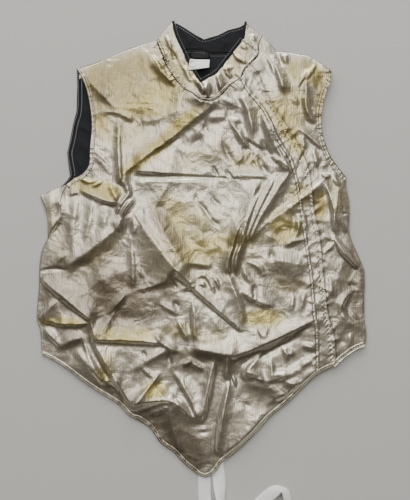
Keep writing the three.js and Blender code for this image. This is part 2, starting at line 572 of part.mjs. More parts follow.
// Back, its lining and the collar back: flat on the surface
function makeBack() {
  const outline = outlineOf([
    EDGES.shoulderLeft, EDGES.armholeBackLeft, EDGES.wrapTop, EDGES.sideLeftUpper, EDGES.sideLeft, BACK_HEM,
    EDGES.sideRight, EDGES.armholeRight, EDGES.shoulderRight, backwards(EDGES.backNeckSeam),
  ]);
  addPanel('back', outline, FLAT_SPACING, [], () => 0, BACK_THICKNESS, METALLIC_CLOTH);
  addPanel('back_lining', liningOutline, FLAT_SPACING, [], () => ON_THE_BACK, LINING_THICKNESS, DARK_LINING);
  const collar = outlineOf([
    EDGES.collarLeftOuter, EDGES.backNeckSeam, EDGES.neckSideRight, EDGES.collarRightOuter,
    backwards(EDGES.collarBackTop),
  ]);
  addPanel('collar_back', collar, FLAT_SPACING, [], () => 0, BACK_THICKNESS, METALLIC_CLOTH);
  const lining = inset(collarLiningOutline, SEAM_GAP);
  addPanel('collar_back_lining', lining, FLAT_SPACING, [], () => ON_THE_BACK, LINING_THICKNESS, DARK_LINING);
}

// Front panels. The fly strip is made from the side panel's own triangles, moved up.
function makeFront() {
  const lines = foldLines(FRONT_SPACING.crest);
  addPanel('front_main', frontMainOutline, FRONT_SPACING, lines, frontMainUnderside, LAME_THICKNESS,
    METALLIC_CLOTH);
  addPanel('back_underarm', wrapOutline, COLLAR_SPACING, [], frontUnderside, LAME_THICKNESS, METALLIC_CLOTH);
  const points = meshPoints(frontSideOutline, FRONT_SPACING, [flyFreeLine, ...lines]);
  const triangles = trianglesInside(triangulate(points), points, frontSideOutline);
  const strip = trianglesInside(triangles, points, flyStripOutline);
  add('front_side', clothWall(points, triangles, frontUnderside, LAME_THICKNESS), METALLIC_CLOTH);
  add('fly_strip', clothWall(points, strip, flyStripUnderside, LAME_THICKNESS), METALLIC_CLOTH);
}

function makeCollar() {
  addPanel('collar_front', collarFrontOutline, COLLAR_SPACING, [tabLine], collarFrontUnderside,
    LAME_THICKNESS, METALLIC_CLOTH);
  addPanel('collar_side', collarSideOutline, COLLAR_SPACING, [], loftUnderside,
    LAME_THICKNESS, METALLIC_CLOTH);
}

// Dark rolled edge that runs just inside the top of the front collar
function makeBinding(name, edges, underside) {
  const line = edges.flatMap((edge) => sampleEdge(edge)).slice(0, -1);
  const sections = line.map((point, i) => {
    const before = line[Math.max(0, i - 1)];
    const after = line[Math.min(line.length - 1, i + 1)];
    const along = after.clone().sub(before).normalize();
    const ends = [SEAM_GAP / 2, SEAM_GAP / 2 + BINDING_WIDTH].map((offset) => [
      point.x - along.y * offset,
      point.y + along.x * offset,
    ]);
    const low = underside(point.x, point.y);
    const high = low + LAME_THICKNESS;
    return [[...ends[0], low], [...ends[1], low], [...ends[1], high], [...ends[0], high]];
  });
  add(name, bandGeometry(sections), DARK_LINING);
}

function makeLabels() {
  const flat = ON_THE_BACK + LINING_THICKNESS + SEAM_GAP;
  const woven = WOVEN_LABEL.map(toPoint);
  addPanel('label_woven', inset(woven, SEAM_GAP), COLLAR_SPACING, [], () => flat,
    LABEL_THICKNESS, WOVEN_TAPE);
  const ramp = SIZE_LABEL_RAMP;
  const top = SIZE_LABEL[0][1];
  const lift = (x, y) => {
    const down = top - y + ramp.slant * Math.max(0, ramp.x - x);
    return flat + ramp.lift * smoothBetween(0, ramp.run, down);
  };
  const size = [0, 1, 2, 3].flatMap((i) => sampleEdge([SIZE_LABEL[i], SIZE_LABEL[(i + 1) % 4]], LABEL_STEP));
  addPanel('label_size', inset(size, SEAM_GAP), COLLAR_SPACING, [], lift, LABEL_THICKNESS, WHITE_SATIN);
}

// White elastic: flat where it is straight, leaning over on its edge where it turns
function makeStrap() {
  const route = new THREE.CatmullRomCurve3(
    STRAP_STATIONS.map(({ x, y, roll }) => new THREE.Vector3(x, y, roll)), false, 'centripetal');
  const count = Math.round(route.getLength() / STRAP_STEP);
  const sections = Array.from({ length: count + 1 }, (_, i) => {
    const { x, y, z: roll } = route.getPoint(i / count);
    const along = route.getTangent(i / count).setZ(0).normalize();
    const lean = THREE.MathUtils.degToRad(Math.max(0, roll));
    const half = STRAP_WIDTH / 2;
    const centre = half * Math.sin(lean) + (STRAP_THICKNESS / 2) * Math.cos(lean);
    const corner = (across, up) => {
      const flat = across * Math.cos(lean) - up * Math.sin(lean);
      return [x - along.y * flat, y + along.x * flat, centre + across * Math.sin(lean) + up * Math.cos(lean)];
    };
    const up = STRAP_THICKNESS / 2;
    return [corner(-half, -up), corner(half, -up), corner(half, up), corner(-half, up)];
  });
  add('crotch_strap', bandGeometry(sections), WHITE_ELASTIC);
}

makeBack();
makeFront();
makeCollar();
makeBinding('collar_binding_left', [EDGES.collarFrontTopLeft], collarFrontUnderside);
makeBinding('collar_binding_right', [EDGES.collarFrontTopRight, EDGES.collarSideTop], collarFrontUnderside);
makeLabels();
makeStrap();

// The origin is at the middle of the box, on the surface it lies on
const box = new THREE.Box3().setFromObject(lame);
const centre = box.getCenter(new THREE.Vector3());
lame.position.set(-centre.x, -centre.y, -box.min.z);

const part = new THREE.Group();
part.add(lame);

export default part;
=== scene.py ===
# %% [markdown]
# # A fencing lame laid out on a floor
#
# A lame is the metallic vest that a fencer wears so that touches can be felt electrically. This one has no
# sleeves. It lies on its back with its front up, creased from storage, and its elastic crotch strap hangs
# out at the point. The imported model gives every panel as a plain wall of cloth. This lesson turns each
# panel into thin, creased cloth with hems, stitches and a woven metallic finish, and keeps every panel
# where the model has it.

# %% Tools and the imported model
import math

import bmesh
import bpy
import numpy as np
from mathutils import Matrix, Vector
from mathutils.bvhtree import BVHTree


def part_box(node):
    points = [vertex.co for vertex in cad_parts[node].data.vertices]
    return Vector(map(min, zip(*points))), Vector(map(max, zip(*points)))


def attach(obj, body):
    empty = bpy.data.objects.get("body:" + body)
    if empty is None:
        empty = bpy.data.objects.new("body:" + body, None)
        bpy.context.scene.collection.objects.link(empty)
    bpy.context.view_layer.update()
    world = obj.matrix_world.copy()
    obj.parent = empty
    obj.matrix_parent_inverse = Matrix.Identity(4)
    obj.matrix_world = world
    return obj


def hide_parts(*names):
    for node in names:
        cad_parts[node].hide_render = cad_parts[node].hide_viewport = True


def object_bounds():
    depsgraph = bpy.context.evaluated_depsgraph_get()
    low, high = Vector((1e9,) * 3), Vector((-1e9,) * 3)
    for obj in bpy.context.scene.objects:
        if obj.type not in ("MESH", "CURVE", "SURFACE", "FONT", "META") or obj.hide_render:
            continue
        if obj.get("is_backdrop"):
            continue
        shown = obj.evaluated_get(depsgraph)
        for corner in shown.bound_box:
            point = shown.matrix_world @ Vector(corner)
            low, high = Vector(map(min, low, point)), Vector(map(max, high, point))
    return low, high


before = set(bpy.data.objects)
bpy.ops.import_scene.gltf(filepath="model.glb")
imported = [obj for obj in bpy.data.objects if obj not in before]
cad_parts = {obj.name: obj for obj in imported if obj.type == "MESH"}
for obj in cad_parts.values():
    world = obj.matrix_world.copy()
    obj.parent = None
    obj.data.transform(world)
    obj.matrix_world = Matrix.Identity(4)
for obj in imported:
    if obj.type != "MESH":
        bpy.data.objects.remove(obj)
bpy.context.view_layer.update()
MM = 0.001
print("panels in the model:", ", ".join(sorted(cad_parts)))

# %% [markdown]
# ## Where things are
#
# The garment's tables are in millimetres from the middle of the chest, as a pattern cutter would measure
# them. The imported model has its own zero, so the centre of the woven neck label, which both know, ties the
# two together.

# %% The pattern's zero in the model
LABEL_CENTRE = (-8.5, 330.5)
low, high = (Vector(corner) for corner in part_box("label_woven"))
zero = (low + high) / 2 - Vector((*LABEL_CENTRE, 0)) * MM
zero.z = 0
print(f"pattern zero at {zero.x / MM:.2f}, {zero.y / MM:.2f} mm")

# %% [markdown]
# ## Camera
#
# The photograph looks straight down at the vest. A long lens two metres up shows 0.85 m along the tall side
# of the picture, with the middle of the chest in the middle. A wider lens closer by would lean the folds
# outwards.

# %% Camera straight above
CAMERA_HEIGHT = 2.0
VIEW_LENGTH = 0.85

camera_data = bpy.data.cameras.new("camera")
camera_data.lens = camera_data.sensor_width * CAMERA_HEIGHT / VIEW_LENGTH
camera = bpy.data.objects.new("camera", camera_data)
camera.location = (zero.x, zero.y, CAMERA_HEIGHT)
bpy.context.scene.collection.objects.link(camera)
bpy.context.scene.camera = camera
print(f"camera {CAMERA_HEIGHT} m up, lens {camera_data.lens:.0f} mm")

# %% [markdown]
# ## Lines on the pattern
#
# Seams, hems and rows of stitches all follow the edges of the pattern pieces. They could be drawn as curve
# objects, but folds and puckers need to ask how far a point is from a seam, so each edge is kept as a plain
# list of points with one function that draws a smooth line through them.

# %% The edges of the pattern
EDGES = {
    "shoulder_left": [(-82, 356), (-94, 352), (-126, 343), (-155, 330), (-192, 316), (-218, 308)],
    "armhole_front_left": [(-218, 308), (-206, 286), (-197, 255), (-192, 213), (-195, 170), (-196, 146),
                           (-206, 130), (-224, 120), (-236, 110)],
    "armhole_back_left": [(-218, 308), (-217, 272), (-218, 236), (-224, 214), (-229, 187), (-234, 165),
                          (-232, 148), (-229, 126), (-238, 115), (-246, 106)],
    "underarm_top": [(-246, 106), (-260, 102), (-272, 95), (-280, 93)],
    "side_left_upper": [(-280, 93), (-274, 75), (-268, 54), (-267, 20)],
    "side_left": [(-267, 20), (-275, 5), (-280, -14), (-282, -42), (-282, -63), (-286, -114), (-280, -136),
                  (-277, -178)],
    "hem_left": [(-277, -178), (-262, -185), (-238, -200), (-216, -217), (-193, -234), (-170, -248),
                 (-148, -262), (-126, -284), (-114, -287), (-93, -303), (-75, -328), (-55, -342),
                 (-37, -361), (-10, -383)],
    "hem_point": [(-10, -383), (0, -386), (10, -383)],
    "hem_right": [(10, -383), (20, -374), (29, -360), (44, -350), (69, -328), (88, -308), (110, -284),
                  (143, -257), (168, -233), (190, -212)],
    "hem_fly": [(190, -212), (203, -204), (221, -196)],
    "hem_side": [(221, -196), (229, -188), (245, -175), (258, -167), (271, -162)],
    "side_right": [(271, -162), (274, -156), (274, -136), (271, -119), (271, -75), (271, -37), (260, -8),
                   (246, 27), (246, 63), (245, 85), (240, 105), (240, 121)],
    "armhole_right": [(240, 121), (226, 138), (212, 158), (204, 177), (199, 195), (197, 214), (197, 236),
                      (203, 263), (210, 280), (214, 298), (211, 308)],
    "shoulder_right": [(211, 308), (195, 318), (173, 330), (151, 334), (133, 337), (121, 336)],
    "neck_side_right": [(121, 336), (114, 347), (97, 363)],
    "collar_outer_right": [(97, 363), (83, 374), (76, 379), (71, 386)],
    "collar_outer_left": [(-56, 388), (-71, 371), (-82, 356)],
    "collar_back_top": [(-56, 388), (-37, 379), (-15, 365), (-2, 358), (22, 365), (40, 374), (60, 379),
                        (71, 386)],
    "yoke_seam": [(-64, 341), (-33, 338), (-4, 338), (10, 332), (34, 332), (70, 333)],
    "collar_top_left": [(-56, 388), (-50, 364), (-39, 340), (-30, 320), (-19, 300), (-8, 283)],
    "collar_top_right": [(-8, 283), (19, 299), (34, 318), (53, 342), (65, 358)],
    "collar_side_top": [(65, 358), (68, 372), (71, 386)],
    "tab_end": [(65, 358), (76, 350), (91, 337), (87, 328), (75, 314)],
    "neck_seam": [(61, 290), (44, 280), (27, 262), (20, 255), (7, 250), (-7, 252), (-15, 260), (-25, 267),
                  (-36, 272), (-48, 287), (-60, 303), (-68, 320), (-75, 340), (-82, 356)],
    "fly_seam": [(61, 290), (73, 268), (94, 243), (110, 216), (119, 192), (141, 158), (149, 138), (158, 95),
                 (170, 15), (175, -18), (180, -54), (184, -107), (188, -133), (189, -163), (190, -212)],
    "fly_free": [(75, 314), (92, 295), (104, 265), (120, 240), (138, 212), (155, 185), (168, 158),
                 (177, 133), (184, 76), (195, 19), (200, -30), (207, -97), (216, -133), (221, -160),
                 (221, -196)],
    "fly_row": [(100, 262), (119, 228), (141, 192), (160, 152), (171, 126), (178, 97), (185, 46), (194, 5),
                (196, -31), (201, -75), (207, -119), (214, -163), (217, -194)],
}

print(len(EDGES), "edges on the pattern")

# %% [markdown]
# A curve through a few points keeps each list short. The distance to a line tells a
# fold, a stitch or a pucker where it is, and the side tells on which panel.

# %% Smooth lines and distances
def curve_point(a, b, leave, arrive, t):
    """A point on the smooth curve from a to b that leaves and arrives in given directions."""
    return ((2 * a - 2 * b + leave + arrive) * t ** 3
            + (3 * b - 3 * a - 2 * leave - arrive) * t ** 2 + leave * t + a)


def smooth_line(points, step):
    """Points about a step apart on a smooth curve through given points."""
    points = np.array(points, float)
    last = len(points) - 1
    line = []
    for i in range(last):
        before, a, b, after = points[max(i - 1, 0)], points[i], points[i + 1], points[min(i + 2, last)]
        count = max(1, round(np.hypot(*(b - a)) / step))
        for t in np.arange(count) / count:
            line.append(curve_point(a, b, (b - before) / 2, (after - a) / 2, t))
    line.append(points[last])
    return np.array(line)


def joined(*names, step=6):
    """Several edges that follow each other, as one line."""
    parts = [smooth_line(EDGES[name], step) for name in names]
    return np.vstack([part[:-1] for part in parts] + [parts[-1][-1:]])


def beside(line, x, y):
    """How far each point is from a line, on which side (left is positive), and how far along it."""
    nearest = np.full(x.shape, np.inf)
    side, along = np.zeros(x.shape), np.zeros(x.shape)
    start = 0.0
    for (ax, ay), (bx, by) in zip(line, line[1:]):
        length = math.hypot(bx - ax, by - ay)
        ux, uy = (bx - ax) / length, (by - ay) / length
        t = np.clip((x - ax) * ux + (y - ay) * uy, 0, length)
        distance = np.hypot(x - ax - ux * t, y - ay - uy * t)
        closer = distance < nearest
        nearest = np.where(closer, distance, nearest)
        side = np.where(closer, np.sign(ux * (y - ay) - uy * (x - ax)), side)
        along = np.where(closer, start + t, along)
        start += length
    return nearest, side, along


def smooth_between(zero_at, one_at, value):
    """0 at the first value, 1 at the second, and smooth between them."""
    t = np.clip((value - zero_at) / (one_at - zero_at), 0, 1)
    return t * t * (3 - 2 * t)


HEM_EDGES = ["hem_left", "hem_point", "hem_right", "hem_fly", "hem_side"]
hem = joined(*HEM_EDGES)
armhole_left = joined("armhole_front_left")
armhole_right = joined("armhole_right")
fly_seam = joined("fly_seam")
fly_free = joined("fly_free")
neck_seam = joined("neck_seam")
silhouette = joined("collar_outer_left", "shoulder_left", "armhole_back_left", "underarm_top",
                    "side_left_upper", "side_left", *HEM_EDGES, "side_right", "armhole_right",
                    "shoulder_right", "neck_side_right", "collar_outer_right")
print(f"hem {np.hypot(*np.diff(hem, axis=0).T).sum():.0f} mm long")

# %% [markdown]
# ## The creases of the front
#
# Cloth that was packed away keeps sharp crests with a steep flank on one side and a long gentle one on the
# other. A cloth simulation makes good folds, but never the ones that this vest has, so each crease is
# placed one by one. A row gives the two ends of a crest, its rise at one end, in the middle and at the other
# end, the widths of its left and right flanks and how far it bows to the left. A negative rise is a trough.
# The first table holds the folds that the imported model has too, so a fold that only the picture needs
# higher or lower is corrected in the second.

# %% Large folds of the chest and the left side
FOLDS = [
    # x0, y0, x1, y1, rise0, middle, rise1, left, right, bow
    # Chest, left of the neck
    (20, 250, -63, 184, 3, 4, 4, 9, 46, 0),
    (-55, 190, -134, 131, 4, 5, 3, 10, 46, -2),
    (-114, 133, 29, 125, 6, 3, 2, 44, 8, 0),
    (-114, 116, 107, 119, 2, 2, 1, 5, 26, 0),
    (-172, 233, -121, 216, 1, 5, 2, 38, 9, 6),
    (-163, 318, -171, 256, 3, 4, 1, 40, 12, 1),
    (-197, 289, -146, 235, 2, 4, 1, 28, 12, -2),
    (-146, 226, -142, 116, 1, 5, 8, 26, 15, -2),
    (-88, 328, -42, 275, 2, 4, 1, 7, 18, -3),
    (-112, 219, -60, 232, 1, 3, 1, 20, 12, -6),
    (-116, 264, -44, 269, 1, 3, 1, 24, 12, -5),
    # Left armpit and the knot beside it
    (-246, 86, -248, 48, 3, 4, 3, 13, 10, 3),
    (-248, 54, -268, 20, 4, 4, 1, 12, 8, -2),
    (-213, 102, -145, 78, 1, 5, 4, 32, 9, -3),
    (-163, 112, -145, 80, 1, 4, 2, 18, 12, 0),
    (-139, 117, -129, 94, 5, 5, 4, 10, 10, 2),
    (-127, 96, -149, 60, 4, 6, 4, 9, 8, -3),
    (-124, 86, -146, 39, 5, 7, 6, 20, 18, -3),
    (-143, 42, -236, -29, 5, 7, 2, 22, 46, 2),
    (-190, 85, -204, 17, 1, 4, 1, 16, 18, 2),
    # Left side, down to the hem
    (-277, -51, -192, -119, 3, 7, 5, 44, 9, 0),
    (-282, -116, -249, -84, 2, 5, 2, 12, 26, 0),
    (-194, -119, -189, -151, 4, 4, 5, 12, 14, 2),
    (-189, -152, -76, -158, 4, 6, 4, 42, 10, 2),
    (-185, -150, -150, -102, 3, 3, 1, 14, 16, 0),
    (-277, -119, -199, -124, 1, 4, 3, 28, 9, -4),
    (-250, -167, -206, -148, 2, 5, 3, 20, 14, 3),
    (-216, -170, -175, -223, 2, 6, 4, 16, 26, 0),
    (-189, -155, -122, -265, 5, 7, 10, 38, 14, -1),
    (-122, -265, -76, -207, 7, 7, 1, 16, 18, 0),
    (-122, -265, -49, -256, 7, 10, 10, 28, 20, 6),
    (-49, -256, -14, -288, 10, 8, 5, 20, 26, 0),
    (-52, -208, -12, -282, 2, 6, 5, 26, 9, 3),
    (-60, -264, -41, -345, 4, 5, 1, 18, 20, -2),
]

print(len(FOLDS), "large folds")

# %% [markdown]
# In the middle of the front a long crest slants down to the right. Beside it a fan of crests spreads upwards
# from one point, as if the cloth had been pinched there. The fan is drawn as crests that end at the same
# place, because their heights add up there to a knot.

# %% Large folds of the middle
FOLDS += [
    (-122, 68, -46, -37, 4, 9, 12, 58, 50, -3),
    (-46, -37, -20, -62, 12, 9, 7, 36, 13, 0),
    (-20, -64, 61, -136, 6, 6, 3, 34, 8, 0),
    (-60, 114, -90, 65, 1, 3, 2, 12, 20, 0),
    (-90, 63, -39, -20, 2, 4, 2, 28, 20, 0),
    (-124, 5, -121, -68, 1, 5, 3, 20, 14, 0),
    (-119, -68, -58, -48, 1, 4, 5, 26, 12, -3),
    (-22, -85, -19, -150, 2, 5, 4, 24, 10, 2),
    (-46, -119, -29, -153, 1, 4, 3, 14, 9, 0),
    (-82, -145, -48, -172, 3, 5, 3, 14, 9, -3),
    (39, -42, 46, 2, 3, 6, 6, 22, 9, 3),
    (46, 2, 68, 56, 6, 6, 3, 14, 9, 4),
    (51, -37, 60, 8, 4, 6, 6, 7, 15, 3),
    (60, 8, 90, 94, 6, 6, 4, 9, 13, 3),
    (39, -44, 65, -124, 4, 6, 2, 13, 28, 3),
    (60, -68, 114, -95, 2, 5, 1, 26, 10, -5),
    (97, -20, 168, -27, 2, 6, 4, 24, 38, 5),
    (90, 114, 60, 18, 2, 6, 4, 12, 26, -3),
    (116, 118, 70, 17, 3, 7, 5, 12, 14, -3),
    (142, 131, 77, 20, 5, 6, 3, 18, 11, -4),
    (73, 13, 140, 70, 2, 6, 4, 12, 34, 4),
    (136, 68, 212, 130, 4, 5, 2, 10, 24, -3),
    (133, 5, 165, 18, 1, 4, 2, 24, 9, 2),
]

print(len(FOLDS), "large folds so far")

# %% [markdown]
# Under the middle two long crests meet and run up to the fly strip, and folds fall from them to the hem. The
# side panel is narrow and held by seams on both sides, so its folds are short.

# %% Large folds of the right and the lower front
FOLDS += [
    # Right of the neck
    (27, 256, 62, 238, 3, 4, 1, 10, 14, 2),
    (38, 222, 70, 174, 1, 5, 2, 11, 11, 2),
    (61, 260, 80, 196, 3, 6, 3, 18, 13, 4),
    (97, 230, 143, 136, 3, 6, 5, 10, 14, -3),
    (121, 156, 143, 136, 3, 6, 5, 9, 18, 0),
    # Lower front
    (-17, -168, 49, -180, 6, 8, 7, 48, 24, 2),
    (46, -181, 182, -119, 6, 7, 3, 46, 12, -3),
    (15, -190, -7, -289, 3, 8, 6, 12, 22, 0),
    (42, -221, 20, -343, 2, 7, 4, 16, 10, -2),
    (66, -211, 97, -173, 6, 6, 2, 11, 24, 0),
    (66, -211, 112, -223, 6, 6, 4, 26, 28, 0),
    (112, -223, 146, -254, 4, 5, 1, 18, 22, 0),
    (112, -187, 114, -221, 2, 5, 4, 12, 16, 0),
    (128, -216, 160, -224, 1, 4, 1, 14, 12, -5),
    (-3, -306, 5, -366, 7, 6, 2, 16, 16, 0),
    # Side panel
    (110, 330, 133, 268, 2, 5, 4, 16, 9, 2),
    (171, 288, 170, 244, 1, 5, 6, 16, 10, 0),
    (170, 244, 188, 212, 6, 5, 1, 20, 12, -2),
    (160, 206, 199, 172, 2, 4, 2, 14, 8, 0),
    (182, 170, 189, 139, 1, 4, 1, 10, 10, 2),
    (204, 112, 218, 62, 2, 5, 5, 18, 9, 2),
    (218, 62, 220, 28, 5, 6, 3, 12, 9, 0),
    (226, 108, 222, 66, 2, 5, 4, 16, 12, 0),
    (222, 66, 245, 26, 4, 4, 1, 13, 10, 0),
    (218, 22, 259, -30, 3, 7, 3, 11, 9, -3),
    (229, -105, 268, -134, 6, 7, 2, 12, 26, -2),
    (246, -73, 230, -100, 1, 4, 5, 12, 16, -3),
]

print(len(FOLDS), "large folds in all")

# %% [markdown]
# The second table adds the finer creases that only the picture needs: thin pinches, ticks and small puckers
# that end within a few centimetres. They fade out over a shorter distance than the large folds. Some of its
# rows follow a large fold and take a little of its height off again.

# %% Fine creases of the chest and the left side
CREASES = [
    # x0, y0, x1, y1, rise0, middle, rise1, left, right, bow
    # Chest, left of the neck
    (-189, 170, -160, 141, 1, 3, 1, 7, 6, 1),
    (-187, 158, -162, 134, 1, 2.5, 1, 6, 6, 1),
    (-143, 195, -138, 119, 0, -2, -1, 6, 6, 0),
    (-99, 337, -56, 284, 1, 3, 1, 8, 20, -4),
    (-80, 320, -66, 300, 1, 2, 0, 4, 5, 0),
    (-76, 326, -62, 306, 1, 2, 0, 4, 5, 0),
    (-148, 247, -70, 245, 0, -1, 0, 5, 5, 0),
    (-116, 267, -116, 236, 0, -1, 0, 5, 5, 0),
    (29, 125, 107, 124, 1, 3, 1, 18, 6, 0),
    (12, 144, 22, 126, 0, -3, -1, 5, 6, 0),
    (34, 133, 46, 124, 0, -3, -1, 5, 6, 0),
    (0, 194, -26, 173, 0, -3, 0, 13, 13, 0),
    (2, 218, 5, 196, 0, -2.5, 0, 6, 6, -3),
    (3, 219, 36, 224, 0, 2.5, 1, 11, 8, 3),
    (-17, 85, 12, 47, 0, -2.5, 0, 6, 6, 3),
    (5, 96, 30, 68, 0, -2.5, 0, 6, 6, 0),
    (10, 54, 25, 38, 0, -2.5, 0, 6, 6, 0),
    (-19, 92, -12, 84, 0, -2.5, 0, 5, 5, 0),
    (-20, 117, 107, 119, -0.5, -1.5, -1, 5, 26, 0),
    (-56, 129, 29, 125, -1, -1.5, -1, 44, 8, 0),
    (-60, 114, -90, 65, -0.5, -1.5, -1, 12, 20, 0),
    # Left side and armpit
    (-211, 120, -196, 112, 1, 3, 1, 5, 6, 2),
    (-200, 116, -180, 122, 1, 3, 1, 6, 5, -4),
    (-192, 108, -174, 118, 1, 3, 1, 5, 6, -2),
    (-228, 92, -216, 99, 1, 3, 1, 5, 6, 2),
    (-224, 88, -214, 94, 0, -2, 0, 4, 4, 0),
    (-124, 83, -141, 58, 2, 5, 2, 6, 6, -2),
    (-216, 93, -229, 17, 0, 2, 0, 14, 14, 0),
    (-165, 76, -173, 31, 0, 3, 0, 13, 16, 0),
    (-255, -27, -229, -3, 0, 4, 0, 9, 7, 3),
    (-280, -37, -238, -34, -2, -4, -2, 6, 6, 3),
    (-121, 54, -119, 24, 1, 4, 1, 7, 8, 0),
    (-114, -30, -102, -48, 0, 2, 0, 5, 7, 0),
    (-165, -109, -133, -73, 0, 4, 1, 11, 12, 0),
    (-272, -133, -247, -162, 1, 5, 1, 14, 9, 0),
    (-206, -150, -173, -221, 1, 4, 3, 11, 9, -4),
    (-178, -223, -146, -221, 2, 5, 4, 14, 14, 0),
]

print(len(CREASES), "fine creases")

# %% [markdown]
# Where folds meet, the cloth stands up in knots of short ticks. Some of the rows are troughs, so that the
# crests beside them look sharper without being higher.

# %% Fine creases of the middle and right of the neck
CREASES += [
    # Middle and knots
    (-37, -66, -18, -62, 1, 4, 1, 5, 5, 0),
    (-12, -56, 2, -62, 1, 4, 1, 5, 6, 2),
    (-3, -39, 15, -73, 1, 4, 1, 6, 7, 4),
    (8, -42, 24, -68, 1, 4, 0, 7, 7, 4),
    (-29, -22, 12, -27, 0, 4, 1, 18, 9, 0),
    (-14, -42, 3, -44, 0, 3, 0, 10, 7, 0),
    (-77, -90, -43, -110, 0, 3, 0, 9, 9, 0),
    (-58, -52, -46, -68, 0, -3, 0, 6, 6, 0),
    (-54, -86, -44, -98, 0, -3, 0, 8, 8, 0),
    (73, -20, 100, -46, 1, 4, 1, 9, 7, 6),
    (65, -25, 83, -58, 1, 4, 1, 8, 8, -4),
    (83, -58, 85, -92, -1, -4, -1, 5, 5, 0),
    (170, -68, 161, -105, 0, 4, 0, 8, 16, 0),
    (150, -73, 146, -105, 0, 3, 0, 6, 6, 0),
    (90, -128, 97, -150, 0, 3, 0, 6, 6, 0),
    (105, -126, 98, -152, 0, 3, 0, 6, 6, 0),
    (114, 0, 111, -22, 0, -3, 0, 9, 9, 0),
    (155, 60, 145, 17, 0, 4, 0, 12, 9, 8),
    (112, 32, 106, 8, 0, 2.5, 0, 7, 9, 0),
    (-66, -170, -131, -206, 3, 4, 0, 13, 14, 0),
    (-109, -196, -87, -216, 0, 4, 0, 7, 8, 0),
    (-105, -170, -100, -184, 0, -3, 0, 6, 6, 0),
    (-63, -173, -58, -197, -1, -4, 0, 6, 6, 0),
    (-94, -280, -63, -265, 0, 4, 2, 11, 10, 0),
    (-90, -225, -66, -252, 0, 2, 0, 10, 10, 0),
    # Right of the neck
    (36, 224, 63, 216, 0, 4, 0, 9, 8, 0),
    (97, 187, 122, 144, -1, -5, -2, 7, 9, -3),
    (65, 190, 104, 167, -1, -4, -1, 6, 7, -3),
    (90, 161, 110, 124, 0, -4, 0, 9, 8, -3),
    (104, 161, 121, 144, 0, 4, 1, 9, 9, 4),
    (87, 187, 100, 170, 0, 4, 0, 6, 7, -3),
    (60, 170, 82, 168, 0, -3, 0, 4, 5, 2),
    (70, 148, 82, 168, 0, -3, 0, 5, 5, -1),
    (78, 153, 87, 138, 0, -2.5, 0, 5, 5, 0),
    (29, 187, 51, 144, 0, -3, 0, 9, 8, -3),
    (51, 145, 66, 160, 0, 2, 0, 6, 6, 0),
    (104, 225, 128, 178, 1, 4, 1, 7, 6, -2),
    (111, 214, 140, 156, 1, 3, 1, 5, 6, -2),
    (122, 335, 134, 309, -4, -4, 0, 7, 7, 0),
    (134, 331, 138, 313, 3, 4, 0, 7, 7, 0),
    (196, 133, 213, 126, 0, 4, 1, 6, 7, -4),
    (206, 150, 198, 138, 0, 3, 0, 7, 7, 0),
]

print(len(CREASES), "fine creases so far")

# %% [markdown]
# The side panel puckers towards its seams. Low down, short ticks hang from the long crests, and two broad
# rolls follow the hem up to the right.

# %% Fine creases of the side panel and the lower front
CREASES += [
    # Side panel
    (229, 100, 241, 88, 0, 2, 0, 5, 6, 5),
    (228, 60, 240, 62, 0, -3, 0, 4, 5, 0),
    (216, 133, 226, 107, 1, 3, 1, 7, 9, 0),
    (219, 14, 204, -4, 1, 4, 1, 8, 6, 0),
    (197, 28, 220, 15, 0, 2, 1, 5, 7, 0),
    (243, -57, 258, -63, 0, -3, -1, 4, 5, 0),
    (211, -42, 214, -80, 0, 3, 0, 8, 8, 0),
    (245, -102, 259, -118, 1, 3, 1, 6, 6, 0),
    (246, -140, 246, -161, 0, 3, 1, 6, 6, 0),
    (224, -141, 236, -160, 0, -2, 0, 8, 8, 0),
    (161, 75, 175, 25, 0, 3, 0, 7, 7, 0),
    (98, 337, 116, 297, 0, 3, 1, 7, 6, 3),
    (156, 275, 175, 306, 0, 3, 1, 9, 6, 0),
    (170, 287, 187, 314, 0, 3, 1, 8, 6, 0),
    (144, 263, 158, 245, 0, 3, 1, 8, 5, 0),
    (196, 304, 202, 280, 0, -3, 0, 6, 6, 0),
    (179, 242, 192, 224, 0, 3, 0, 7, 5, 3),
    (163, 200, 168, 172, 0, 3, 1, 7, 5, 0),
    # Lower front
    (37, -182, 36, -219, 1, 5, 2, 16, 9, 0),
    (116, -211, 139, -209, 1, 5, 1, 11, 13, 0),
    (131, -162, 139, -187, 1, 5, 1, 9, 9, 2),
    (158, -196, 182, -187, 0, 4, 1, 12, 9, 0),
    (161, -162, 187, -170, 0, 4, 0, 9, 9, 3),
    (141, -180, 150, -170, 0, 4, 0, 8, 10, 0),
    (60, -255, 78, -268, 0, -2, 0, 9, 9, 0),
    (-3, -306, 5, -366, -6, -5, -2, 16, 16, 0),
    (22, -352, 120, -268, 0, 9, 0, 64, 11, -3),
    (100, -264, 206, -192, 0, 6, 0, 54, 10, -3),
    (70, -206, 100, -222, 0, 3, 1, 12, 8, 4),
    (100, -222, 176, -186, 0, 4, 0, 14, 10, -8),
    (88, -212, 156, -248, -1, -3, -1, 14, 12, 0),
    (56, -196, 166, -143, 0, -3.5, 0, 12, 11, -3),
]

print(len(CREASES), "fine creases so far")

# %% [markdown]
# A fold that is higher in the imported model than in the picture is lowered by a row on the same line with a
# negative rise, and the model stays as it is. The other rows are small marks at the foot of the collar and
# in a few other places.

